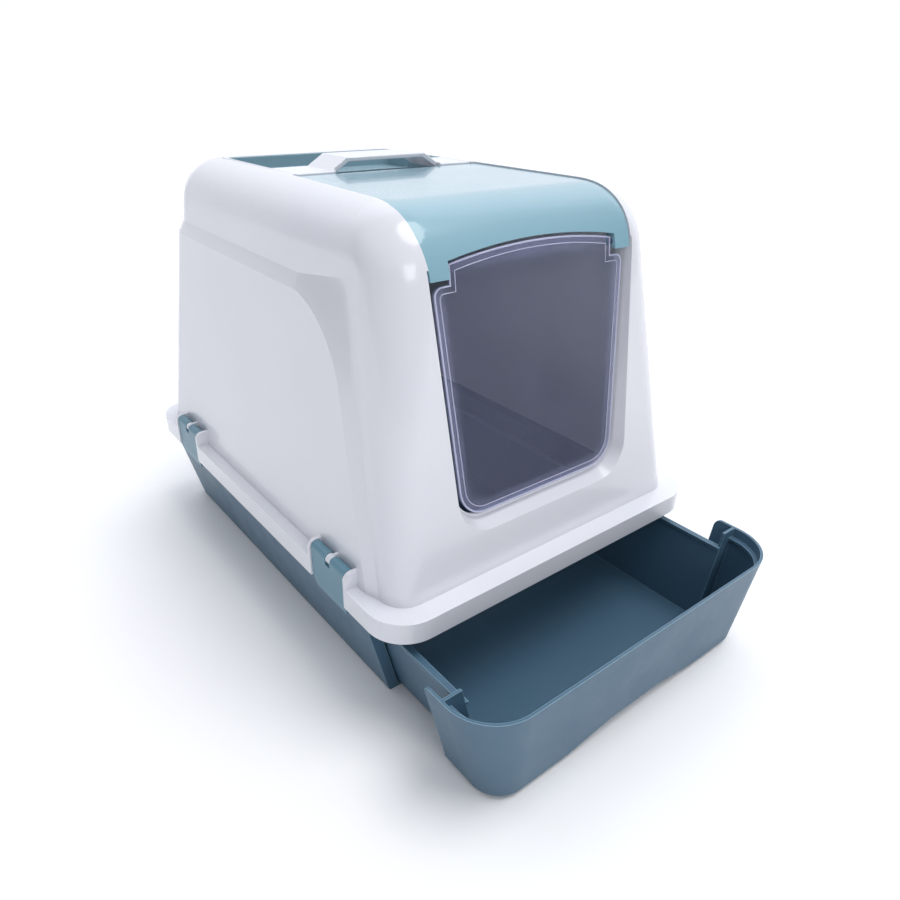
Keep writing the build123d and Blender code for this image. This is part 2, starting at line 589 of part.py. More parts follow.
def bevel_plane(depth: float) -> Plane:
    """A plane along the sloping front wall, `depth` behind its face, with its origin at sill height."""
    normal = Vector(0, -cos(front_tilt), sin(front_tilt))
    origin = Vector(0, opening_plane_y, SILL_Z) - normal * depth
    return Plane(origin=origin, x_dir=(1, 0, 0), z_dir=normal)


def bevel_outline(depth: float, spread: float) -> Sketch:
    """The entrance's outline `depth` behind the front face, widened by `spread`."""
    height = EAR_Z + 12 - SILL_Z
    half_low = SILL_HALF + spread
    half_top = EAR_HALF + LID_GAP + 0.35 * spread
    corners = [(-half_low, -spread), (half_low, -spread), (half_top, height), (-half_top, height)]
    radius = SILL_RADIUS + spread
    return rounded_outline(bevel_plane(depth), corners, [radius, radius, 0, 0])


with BuildPart() as reveal:
    spread_rate = BEVEL_WIDTH / BEVEL_DEPTH
    skin = HOOD_WALL
    loft(sections=[
        bevel_outline(BEVEL_DEPTH + 2.4, skin), bevel_outline(-6, skin + BEVEL_WIDTH + 8.4 * spread_rate),
    ])
    add(hood_outer, mode=Mode.INTERSECT)

with BuildPart() as lid_seat:
    # a lip under the lid's long edges, hung from the cut-out's rim
    seat_front = LID_BEND_Y + 4
    seat_rear = BARREL_Y - BARREL_RADIUS - 3
    add(prism(lid_plan(LID_SHOULDER_Z - 30, seat_front, seat_rear, LID_GAP + HOOD_WALL), 80))
    add(
        prism(lid_plan(LID_SHOULDER_Z - 31, seat_front - 5, seat_rear + 5, LID_GAP - LIP_WIDTH), 90),
        mode=Mode.SUBTRACT,
    )
    add(hood_form(-0.4), mode=Mode.INTERSECT)
    add(hood_form(-LID_SUNK - LID_WALL - SEAT_GAP - 2.6), mode=Mode.SUBTRACT)

with BuildPart() as lid_space:
    # room for the lid: across the top, and down the front as far as the sill
    add(prism(lid_plan(LID_SHOULDER_Z - 30, LID_BEND_Y - 1, CUT_REAR_Y, LID_GAP), 80))
    add(hood_form(-LID_SUNK - LID_WALL - SEAT_GAP), mode=Mode.SUBTRACT)
    seat_half = LID_HALF_REAR - LIP_WIDTH
    solid_box(-seat_half, seat_half, LID_BEND_Y, CUT_REAR_Y, LID_SHOULDER_Z - 20, HOOD_TOP + 5)
    solid_box(
        -LID_HALF_REAR - LID_GAP, LID_HALF_REAR + LID_GAP, seat_rear, CUT_REAR_Y,
        LID_SHOULDER_Z, HOOD_TOP + 5,
    )
    add(prism(
        rounded_outline(front_plane(LID_BEND_Y + 4.5), entrance_outline(0, HOOD_TOP + 20),
                        [SILL_RADIUS, SILL_RADIUS, 0, 0, 0, 0, 0, 0]),
        FLANGE_HALF_L + LID_BEND_Y + 20,
    ))

with BuildPart() as well_walls:
    solid_box(
        -WELL_HALF - HOOD_WALL, WELL_HALF + HOOD_WALL, CUT_REAR_Y, WELL_STEP_Y,
        GRIP_FLOOR_Z - HOOD_WALL, HOOD_TOP,
    )
    solid_box(
        -WELL_HALF - HOOD_WALL, WELL_HALF + HOOD_WALL, WELL_STEP_Y - HOOD_WALL, WELL_REAR_Y + HOOD_WALL,
        FILTER_FLOOR_Z - HOOD_WALL, HOOD_TOP,
    )
    add(hood_outer, mode=Mode.INTERSECT)

with BuildPart() as hood_shell:
    add(hood_outer)
    add(side_panel.part)
    # flange and skirt
    with BuildSketch(level(RIM_Z)):
        RectangleRounded(FLANGE_WIDTH, FLANGE_LENGTH, FLANGE_RADIUS)
    extrude(amount=SKIRT_DEPTH)
    with BuildSketch(level(RIM_Z)):
        RectangleRounded(
            FLANGE_WIDTH - 2 * SKIRT_WALL, FLANGE_LENGTH - 2 * SKIRT_WALL, FLANGE_RADIUS - SKIRT_WALL,
        )
    extrude(amount=SKIRT_DEPTH - FLANGE_PLATE, mode=Mode.SUBTRACT)
    for side in SIDES.values():
        for end in ENDS.values():
            # pair of cheeks that hold a clip's pins
            for turn in (-1, 1):
                y = end * CLIP_Y + turn * (CHEEK_START + CHEEK / 2)
                cheek_top = CLIP_PIVOT_Z + CLIP_BARREL
                corners = [
                    (side * (HOOD_HALF_FRONT - 6), FLANGE_Z - 1), (side * FLANGE_HALF_W, FLANGE_Z - 1),
                    (side * FLANGE_HALF_W, cheek_top), (side * (HOOD_HALF_FRONT - 6), cheek_top),
                ]
                add(prism(
                    rounded_outline(front_plane(y + CHEEK / 2), corners, [0, 0, CHEEK_ROUND, 0]), CHEEK,
                ))
                solid_box(
                    side * (BASE_HALF_W + 1.6), side * FLANGE_HALF_W, y - CHEEK / 2, y + CHEEK / 2,
                    RIM_Z, FLANGE_Z - 0.5,
                )
    add(hood_inner, mode=Mode.SUBTRACT)
    # rib under the flange that locates the hood inside the base's rim
    rib_inset = TRAY_WALL + SEAT_GAP
    with BuildSketch(level(FLANGE_Z - FLANGE_PLATE - 3.4)):
        add(base_outline(RIM_Z, rib_inset).moved(Location((0, 0, -RIM_Z))))
        add(base_outline(RIM_Z, rib_inset + RIB_WALL).moved(Location((0, 0, -RIM_Z))), mode=Mode.SUBTRACT)
    extrude(amount=4.0)
    for side in SIDES.values():
        for end in ENDS.values():
            # notch for the clip, and blind holes for its pins
            solid_box(
                side * (CLIP_PIVOT_X - CLIP_BARREL - 0.5), side * (FLANGE_HALF_W + 1),
                end * CLIP_Y - CHEEK_START, end * CLIP_Y + CHEEK_START,
                RIM_Z - 1, FLANGE_Z + 0.5, mode=Mode.SUBTRACT,
            )
            with Locations(Location((side * CLIP_PIVOT_X, end * CLIP_Y, CLIP_PIVOT_Z), (90, 0, 0))):
                pin_span = 2 * (CLIP_HALF + CLIP_PIN_LENGTH + SEAT_GAP)
                Cylinder(CLIP_PIN_RADIUS + PIN_PLAY, pin_span, mode=Mode.SUBTRACT)
            # lug that reaches over into the notch of the clip's top
            with Locations(Location((side * CLIP_PIVOT_X, end * CLIP_Y, CLIP_PIVOT_Z), (90, 0, 0))):
                Cylinder(LUG_RADIUS, 2 * LUG_HALF)
            solid_box(
                side * (HOOD_HALF_REAR - 1), side * CLIP_PIVOT_X,
                end * CLIP_Y - LUG_BRIDGE_HALF, end * CLIP_Y + LUG_BRIDGE_HALF,
                CLIP_PIVOT_Z, CLIP_PIVOT_Z + LUG_RADIUS,
            )
    add(lid_seat.part)
    add(reveal.part)
    loft(
        sections=[bevel_outline(BEVEL_DEPTH, 0), bevel_outline(-6, BEVEL_WIDTH + 6 * spread_rate)],
        mode=Mode.SUBTRACT,
    )
    add(lid_space.part, mode=Mode.SUBTRACT)
    # well for the handle and the filter, sunk in the top behind the lid
    add(well_walls.part)
    with BuildSketch(level(GRIP_FLOOR_Z)):
        with Locations((0, (CUT_REAR_Y + WELL_STEP_Y) / 2)):
            Rectangle(2 * WELL_HALF, WELL_STEP_Y - CUT_REAR_Y + 2)
    extrude(amount=HOOD_TOP - GRIP_FLOOR_Z + 5, mode=Mode.SUBTRACT)
    add(prism(
        box_outline(FILTER_FLOOR_Z, WELL_HALF, WELL_STEP_Y, WELL_REAR_Y, 0, WELL_RADIUS),
        HOOD_TOP - FILTER_FLOOR_Z + 5,
    ), mode=Mode.SUBTRACT)
    # low front wall of the grip's hollow
    solid_box(
        -WELL_HALF - 1, WELL_HALF + 1, CUT_REAR_Y, CUT_REAR_Y + HOOD_WALL,
        GRIP_FLOOR_Z - 1, BARREL_Z - BARREL_RADIUS - 3,
    )
    # air slots below the filter
    with BuildSketch(level(FILTER_FLOOR_Z)):
        with Locations((0, (WELL_STEP_Y + WELL_REAR_Y) / 2)):
            with GridLocations(FILTER_LENGTH / 3, 12, 3, 5):
                Rectangle(FILTER_LENGTH / 3 - 12, 5)
    extrude(amount=-HOOD_WALL - 1, mode=Mode.SUBTRACT)
    for side in SIDES.values():
        # bearing for the lid's hinge pin
        inner = LID_HALF_REAR + LID_GAP
        solid_box(
            side * inner, side * (inner + 7), BARREL_Y - 6, BARREL_Y + 6,
            BARREL_Z - 6, BARREL_Z + 4.5,
        )
        pin_end = LID_HALF_REAR + BARREL_PIN_LENGTH + SEAT_GAP
        with Locations(Location((side * (inner - 1 + pin_end) / 2, BARREL_Y, BARREL_Z), (0, 90, 0))):
            Cylinder(BARREL_PIN_RADIUS + PIN_PLAY, pin_end - inner + 1, mode=Mode.SUBTRACT)
save(hood_shell, "hood_shell")


# ------------------------------------------------------------------ lid
with BuildPart() as lid_bounds:
    add(prism(lid_plan(LID_SHOULDER_Z - 30, LID_BEND_Y - 0.5, BARREL_Y, 0), 80))
    lean_in = (LID_HALF_FRONT - EAR_HALF) / (LID_SHOULDER_Z - EAR_Z)
    notch_z = DOOR_NECK_Z + DOOR_GAP
    with BuildSketch(front_plane(LID_BEND_Y)):
        with BuildLine():
            Polyline(
                (EAR_INNER, notch_z), (EAR_INNER, EAR_Z), (EAR_HALF, EAR_Z),
                (LID_HALF_FRONT, LID_SHOULDER_Z), (LID_HALF_FRONT, HOOD_TOP + 20),
                (-LID_HALF_FRONT, HOOD_TOP + 20), (-LID_HALF_FRONT, LID_SHOULDER_Z),
                (-EAR_HALF, EAR_Z), (-EAR_INNER, EAR_Z), (-EAR_INNER, notch_z),
            )
            ThreePointArc((-EAR_INNER, notch_z), (0, notch_z + DOOR_ARCH_RISE), (EAR_INNER, notch_z))
        make_face()
    extrude(amount=FLANGE_HALF_L + LID_BEND_Y)

with BuildPart() as ear_blocks:
    for side in SIDES.values():
        solid_box(
            side * EAR_INNER, side * EAR_HALF, DOOR_PIN_Y - 12, DOOR_PIN_Y + EAR_BOSS,
            DOOR_PIN_Z, DOOR_PIN_Z + 9,
        )
        with Locations(Location((side * (EAR_INNER + EAR_HALF) / 2, DOOR_PIN_Y, DOOR_PIN_Z), (0, 90, 0))):
            Cylinder(EAR_BOSS, EAR_HALF - EAR_INNER)
    add(hood_form(-LID_SUNK), mode=Mode.INTERSECT)

with BuildPart() as top_flap:
    add(hood_form(-LID_SUNK))
    add(hood_form(-LID_SUNK - LID_WALL), mode=Mode.SUBTRACT)
    add(lid_bounds.part, mode=Mode.INTERSECT)
    add(ear_blocks.part)
    barrel_half = LID_HALF_REAR
    with Locations(Location((0, BARREL_Y, BARREL_Z), (0, 90, 0))):
        Cylinder(BARREL_RADIUS, 2 * barrel_half)
        Cylinder(BARREL_PIN_RADIUS, 2 * (barrel_half + BARREL_PIN_LENGTH))
    for side in SIDES.values():
        with Locations(Location((side * (EAR_INNER + 5.5), DOOR_PIN_Y, DOOR_PIN_Z), (0, 90, 0))):
            Cylinder(DOOR_PIN_RADIUS + PIN_PLAY, 13, mode=Mode.SUBTRACT)
save(top_flap, "top_flap")


# ------------------------------------------------------------------ swing door
door_bottom_z = SILL_Z + DOOR_GAP
door_bottom_y = -(HOOD_HALF_LENGTH - SLOPE_FRONT * (door_bottom_z - FLANGE_Z)) + BEVEL_DEPTH - 2.5
door_tilt = atan((DOOR_PIN_Y - door_bottom_y) / (DOOR_PIN_Z - door_bottom_z))
door_plane = Plane(
    origin=(0, DOOR_PIN_Y, DOOR_PIN_Z), x_dir=(1, 0, 0), z_dir=(0, -cos(door_tilt), sin(door_tilt)),
)


def along_door(z: float) -> float:
    """Distance up the door, from its pins, of the point at height z."""
    return (z - DOOR_PIN_Z) / cos(door_tilt)


def door_outline(inset: float) -> Sketch:
    """The door's outline on its own plane, drawn in by `inset`."""
    low = along_door(door_bottom_z) + inset
    shoulder = along_door(DOOR_SHOULDER_Z) - inset
    neck = along_door(DOOR_NECK_Z) - inset
    half_low = SILL_HALF + 0.3 - DOOR_GAP - inset
    half_shoulder = DOOR_SHOULDER_HALF - inset
    half_neck = DOOR_NECK_HALF - inset
    with BuildSketch(door_plane) as outline:
        with BuildLine():
            Polyline(
                (half_neck, neck), (half_neck, shoulder), (half_shoulder, shoulder), (half_low, low),
                (-half_low, low), (-half_shoulder, shoulder), (-half_neck, shoulder), (-half_neck, neck),
            )
            ThreePointArc((-half_neck, neck), (0, neck + DOOR_ARCH_RISE), (half_neck, neck))
        make_face()
        for side in SIDES.values():
            for corner, radius in (
                ((side * half_low, low), DOOR_CORNER_RADIUS - inset),
                ((side * half_shoulder, shoulder), DOOR_SHOULDER_RADIUS - min(inset, 4)),
            ):
                fillet(outline.vertices().sort_by_distance(Vector(*corner))[0], radius)
    return outline.sketch


with BuildPart() as swing_door:
    extrude(to_extrude=door_outline(0), amount=DOOR_THICKNESS / 2, both=True)
    # the panel inside the border is thinner than the border
    add(
        prism(door_outline(DOOR_BORDER), DOOR_THICKNESS).moved(
            Location(door_plane.z_dir * (DOOR_THICKNESS / 2 - 0.6))
        ),
        mode=Mode.SUBTRACT,
    )
    for side in SIDES.values():
        with Locations(Location((side * (DOOR_NECK_HALF + 3), DOOR_PIN_Y, DOOR_PIN_Z), (0, 90, 0))):
            Cylinder(DOOR_PIN_RADIUS, 14)
save(swing_door, "swing_door")


# ------------------------------------------------------------------ clips
def clip(side: int, end: int) -> BuildPart:
    """One clip: a barrel on two pins, and a plate that reaches down over the base's catch."""
    outer = CLIP_PIVOT_X + CLIP_BARREL
    inner = outer - CLIP_PLATE
    nose = inner - 0.5
    with BuildPart() as piece:
        with BuildSketch(front_plane(end * CLIP_Y + CLIP_HALF)):
            with BuildLine():
                Polyline(
                    (side * outer, CLIP_PIVOT_Z), (side * outer, CLIP_FOOT_Z + 8),
                    (side * (outer - 0.9), CLIP_FOOT_Z), (side * (nose + 0.3), CLIP_FOOT_Z),
                    (side * nose, CLIP_FOOT_Z + 0.8), (side * nose, CATCH_Z - 0.8),
                    (side * inner, CATCH_Z), (side * inner, CLIP_PIVOT_Z), close=True,
                )
            make_face()
            with Locations((side * CLIP_PIVOT_X, CLIP_PIVOT_Z)):
                Circle(CLIP_BARREL)
        extrude(amount=2 * CLIP_HALF)
        with Locations(Location((side * CLIP_PIVOT_X, end * CLIP_Y, CLIP_PIVOT_Z), (90, 0, 0))):
            Cylinder(CLIP_PIN_RADIUS, 2 * (CLIP_HALF + CLIP_PIN_LENGTH))
        # notch for the lug, through the barrel
        notch_half = LUG_HALF + LUG_GAP
        solid_box(
            side * (CLIP_PIVOT_X - CLIP_BARREL - 1), side * (outer + 1),
            end * CLIP_Y - notch_half, end * CLIP_Y + notch_half,
            CLIP_PIVOT_Z - LUG_RADIUS - LUG_GAP, CLIP_PIVOT_Z + CLIP_BARREL + 1, mode=Mode.SUBTRACT,
        )
        # slanted cut at the lower rear corner
        rear = end * CLIP_Y + CLIP_HALF
        with BuildSketch(Plane.YZ):
            with BuildLine():
                Polyline(
                    (rear - CLIP_CUT_WIDTH, CLIP_FOOT_Z - 1), (rear + 1, CLIP_FOOT_Z - 1),
                    (rear + 1, CLIP_FOOT_Z + CLIP_CUT_HEIGHT), (rear, CLIP_FOOT_Z + CLIP_CUT_HEIGHT),
                    (rear - CLIP_CUT_WIDTH, CLIP_FOOT_Z), close=True,
                )
            make_face()
        extrude(amount=side * FLANGE_WIDTH, mode=Mode.SUBTRACT)
    return piece


for side_name, side in SIDES.items():
    for end_name, end in ENDS.items():
        save(clip(side, end), f"clip_{end_name}_{side_name}")


# ------------------------------------------------------------------ carry handle
handle_front = CUT_REAR_Y + 0.5
with BuildPart() as carry_handle:
    low = HOOD_TOP - HANDLE_THICKNESS
    with BuildSketch(front_plane(HANDLE_REAR_Y)):
        with BuildLine():
            Polyline(
                (-WELL_HALF, low), (-HANDLE_HALF_FOOT, low), (-HANDLE_HALF_TOP, low + HANDLE_RISE),
                (HANDLE_HALF_TOP, low + HANDLE_RISE), (HANDLE_HALF_FOOT, low), (WELL_HALF, low),
                (WELL_HALF, HOOD_TOP), (HANDLE_HALF_FOOT + 3, HOOD_TOP),
                (HANDLE_HALF_TOP + 3, HOOD_TOP + HANDLE_RISE), (-HANDLE_HALF_TOP - 3, HOOD_TOP + HANDLE_RISE),
                (-HANDLE_HALF_FOOT - 3, HOOD_TOP), (-WELL_HALF, HOOD_TOP), close=True,
            )
        make_face()
    extrude(amount=HANDLE_REAR_Y - handle_front)
    solid_box(
        -HANDLE_HALF_FOOT, HANDLE_HALF_FOOT, handle_front - 1, handle_front + HANDLE_FRONT_SETBACK,
        low - 1, HOOD_TOP + HANDLE_RISE + 1, mode=Mode.SUBTRACT,
    )
    for side in SIDES.values():
        solid_box(
            side * (WELL_HALF - HANDLE_LEG), side * WELL_HALF, handle_front + HOOD_WALL + 1, HANDLE_REAR_Y,
            GRIP_FLOOR_Z, low + 1,
        )
save(carry_handle, "carry_handle")


# ------------------------------------------------------------------ filter and its cover
cover_play = 0.3
cover_top = HOOD_TOP - COVER_DROP
with BuildPart() as filter_cover:
    add(prism(
        box_outline(FILTER_FLOOR_Z + SEAT_GAP, WELL_HALF - cover_play, WELL_STEP_Y + cover_play,
                    WELL_REAR_Y - cover_play, 0, WELL_RADIUS - cover_play),
        cover_top - FILTER_FLOOR_Z - SEAT_GAP,
    ))
    cover_in = cover_play + COVER_WALL
    inner_plan = (
        WELL_HALF - cover_in, WELL_STEP_Y + cover_in, WELL_REAR_Y - cover_in, 0, WELL_RADIUS - cover_in,
    )
    add(prism(box_outline(COVER_FLOOR_Z + COVER_WALL, *inner_plan), 40), mode=Mode.SUBTRACT)
    add(prism(
        box_outline(FILTER_FLOOR_Z - 1, *inner_plan), COVER_FLOOR_Z - FILTER_FLOOR_Z + 1,
    ), mode=Mode.SUBTRACT)
    # low front wall, so that fingers reach under the handle from behind
    solid_box(
        -HANDLE_HALF_FOOT, HANDLE_HALF_FOOT, WELL_STEP_Y - 1, WELL_STEP_Y + cover_in + 1,
        cover_top - COVER_LOW_WALL, cover_top + 1, mode=Mode.SUBTRACT,
    )
    with BuildSketch(level(COVER_FLOOR_Z)):
        with Locations((0, (WELL_STEP_Y + WELL_REAR_Y) / 2)):
            with GridLocations(VENT_LENGTH + 10, VENT_PITCH, 3, 7):
                Rectangle(VENT_LENGTH, VENT_WIDTH)
    extrude(amount=COVER_WALL, mode=Mode.SUBTRACT)
save(filter_cover, "filter_cover")

with BuildPart() as carbon_filter:
    with Locations((0, (WELL_STEP_Y + WELL_REAR_Y) / 2, FILTER_FLOOR_Z + FILTER_THICKNESS / 2)):
        Box(FILTER_LENGTH, FILTER_WIDTH, FILTER_THICKNESS)
    fillet(carbon_filter.edges().filter_by(Axis.Z), 5)
save(carbon_filter, "carbon_filter")
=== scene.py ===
"""Drawer litter box: the visual model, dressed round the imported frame.

Metres, +Z up. The entrance and the drawer are at the -Y end, and the floor is at z = 0.
"""

from dataclasses import dataclass, field
from enum import Enum
import logging
import math

import bmesh
import bpy
from mathutils import Euler, Matrix, Vector
from mathutils.bvhtree import BVHTree
from mathutils.interpolate import poly_3d_calc


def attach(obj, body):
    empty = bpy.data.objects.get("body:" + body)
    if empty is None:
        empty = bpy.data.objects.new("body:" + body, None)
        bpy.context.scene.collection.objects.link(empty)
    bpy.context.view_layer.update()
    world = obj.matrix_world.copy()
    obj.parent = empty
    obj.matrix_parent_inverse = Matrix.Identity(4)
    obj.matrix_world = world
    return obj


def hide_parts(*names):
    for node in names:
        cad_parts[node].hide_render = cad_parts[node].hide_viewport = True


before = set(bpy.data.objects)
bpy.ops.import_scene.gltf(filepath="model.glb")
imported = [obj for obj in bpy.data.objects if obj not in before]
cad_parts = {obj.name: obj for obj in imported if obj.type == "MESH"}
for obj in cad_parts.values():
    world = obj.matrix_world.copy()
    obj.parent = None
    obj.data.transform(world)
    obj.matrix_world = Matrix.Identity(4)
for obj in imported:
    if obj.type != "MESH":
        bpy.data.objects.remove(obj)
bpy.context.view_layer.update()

log = logging.getLogger("litter_box")
MM = 0.001
NOISE_LOW, NOISE_HIGH = 0.3, 0.7  # the part of its range that a noise pattern really fills
HANDLING_PER_DRIFT = 4  # marks from handling to one drift of colour


class Slot(Enum):
    """The material slots of the record; a new piece carries one, and its finish is given separately."""

    BASE = "base_plastic"
    GRILLE = "grille_plastic"
    HOOD = "hood_plastic"
    LID = "lid_plastic"
    COVER = "cover_plastic"
    CLIP = "clip_plastic"
    DOOR = "door_plastic"


# ------------------------------------------------------------------ colours and nodes
def linear(hex_colour: str) -> tuple[float, float, float, float]:
    """Turn an sRGB hex colour into linear values.

    Args:
        hex_colour: The colour as "#rrggbb".

    Returns:
        Red, green, blue and an alpha of 1.
    """
    channels = [int(hex_colour[at:at + 2], 16) / 255 for at in (1, 3, 5)]
    return (*[c / 12.92 if c <= 0.04045 else ((c + 0.055) / 1.055) ** 2.4 for c in channels], 1.0)


def add_node(tree: bpy.types.NodeTree, kind: str, settings: dict | None = None,
             inputs: dict | None = None) -> bpy.types.Node:
    """Add one node to a tree.

    Args:
        tree: The tree that the node joins.
        kind: The node's type name.
        settings: Properties of the node by name.
        inputs: Values of its input sockets by name or index; a socket given as a value is linked.

    Returns:
        The new node.
    """
    node = tree.nodes.new(kind)
    for name, value in (settings or {}).items():
        setattr(node, name, value)
    for name, value in (inputs or {}).items():
        if isinstance(value, bpy.types.NodeSocket):
            tree.links.new(value, node.inputs[name])
        else:
            node.inputs[name].default_value = value
    return node


# ------------------------------------------------------------------ finishes
@dataclass(frozen=True)
class MouldedPlastic:
    """Injection-moulded polypropylene: a tool-polished or satin skin with a faint orange peel."""

    name: str
    colour: str
    shade: str  # what the colour drifts to where the resin mixed unevenly
    roughness: float
    roughness_spread: float
    peel_mm: float  # spacing of the skin's waves
    peel_depth_mm: float
    peel_detail: float = 2.0  # finer waves on the first ones: none on a polished tool
    coat: float = 0.0
    coat_roughness: float = 0.05
    ior: float = 1.49
    drift_mm: float = 140.0
    translucence: float = 0.0
    highlight_colour: str = ""  # painted highlight: paler colour along thin rims and corners, where they would catch the light
    highlight_mm: float = 1.1
    highlight_turn: tuple[float, float] = (0.985, 0.86)  # cosines where the painted highlight starts and is full
    highlight_share: float = 0.75
    radius_mm: float = 3.0  # how far light wanders under the skin

    def material(self) -> bpy.types.Material:
        """Build the material for this finish."""
        material = bpy.data.materials.new(self.name)
        material.use_nodes = True
        tree = material.node_tree
        tree.nodes.clear()
        place = add_node(tree, "ShaderNodeTexCoord").outputs["Object"]
        drift = add_node(tree, "ShaderNodeTexNoise", inputs={
            "Vector": place, "Scale": 1 / (self.drift_mm * MM), "Detail": 2.0, "Roughness": 0.5})
        colour = add_node(tree, "ShaderNodeMix", {"data_type": "RGBA"}, {
            "Factor": drift.outputs["Fac"], "A": linear(self.colour), "B": linear(self.shade)})
        handling = add_node(tree, "ShaderNodeTexNoise", inputs={
            "Vector": place, "Scale": HANDLING_PER_DRIFT / (self.drift_mm * MM), "Detail": 5.0,
            "Roughness": 0.65})
        rough = add_node(tree, "ShaderNodeMapRange", inputs={
            "Value": handling.outputs["Fac"], "From Min": NOISE_LOW, "From Max": NOISE_HIGH,
            "To Min": self.roughness - self.roughness_spread,
            "To Max": self.roughness + self.roughness_spread})
        peel = add_node(tree, "ShaderNodeTexNoise", inputs={
            "Vector": place, "Scale": 1 / (self.peel_mm * MM), "Detail": self.peel_detail,
            "Roughness": 0.5})
        bump = add_node(tree, "ShaderNodeBump", inputs={
            "Height": peel.outputs["Fac"], "Strength": 1.0, "Distance": self.peel_depth_mm * MM})
        skin = colour.outputs["Result"]
        # painted highlights: the skin is made paler along rims and corners
        if self.highlight_colour:
            skin = self.paint_edge_highlights(tree, skin)
        shader = add_node(tree, "ShaderNodeBsdfPrincipled", inputs={
            "Base Color": skin, "Roughness": rough.outputs["Result"],
            "Normal": bump.outputs["Normal"], "IOR": self.ior, "Coat Weight": self.coat,
            "Coat Roughness": self.coat_roughness, "Subsurface Weight": self.translucence})
        shader.inputs["Subsurface Radius"].default_value = (1.0, 1.0, 1.0)
        shader.inputs["Subsurface Scale"].default_value = self.radius_mm * MM
        add_node(tree, "ShaderNodeOutputMaterial", inputs={"Surface": shader.outputs["BSDF"]})
        return material

    def paint_edge_highlights(self, tree: bpy.types.NodeTree,
                   skin: bpy.types.NodeSocket) -> bpy.types.NodeSocket:
        """Paint highlights along edges: lighten the skin where a rounded normal turns away from the face's
        own.

        Args:
            tree: The material's tree.
            skin: The colour away from the edges.

        Returns:
            The colour with highlights painted along its edges.
        """
        rounded = add_node(tree, "ShaderNodeBevel", {"samples": 6}, {"Radius": self.highlight_mm * MM})
        own = add_node(tree, "ShaderNodeNewGeometry")
        match = add_node(tree, "ShaderNodeVectorMath", {"operation": "DOT_PRODUCT"}, {
            0: rounded.outputs["Normal"], 1: own.outputs["Normal"]})
        # mask of the painted highlights, from how far the rounded normal turns
        highlight_mask = add_node(tree, "ShaderNodeMapRange", inputs={
            "Value": match.outputs["Value"], "From Min": self.highlight_turn[0],
            "From Max": self.highlight_turn[1], "To Min": 0.0, "To Max": self.highlight_share})
        mixed = add_node(tree, "ShaderNodeMix", {"data_type": "RGBA"}, {
            "Factor": highlight_mask.outputs["Result"], "A": skin, "B": linear(self.highlight_colour)})
        return mixed.outputs["Result"]


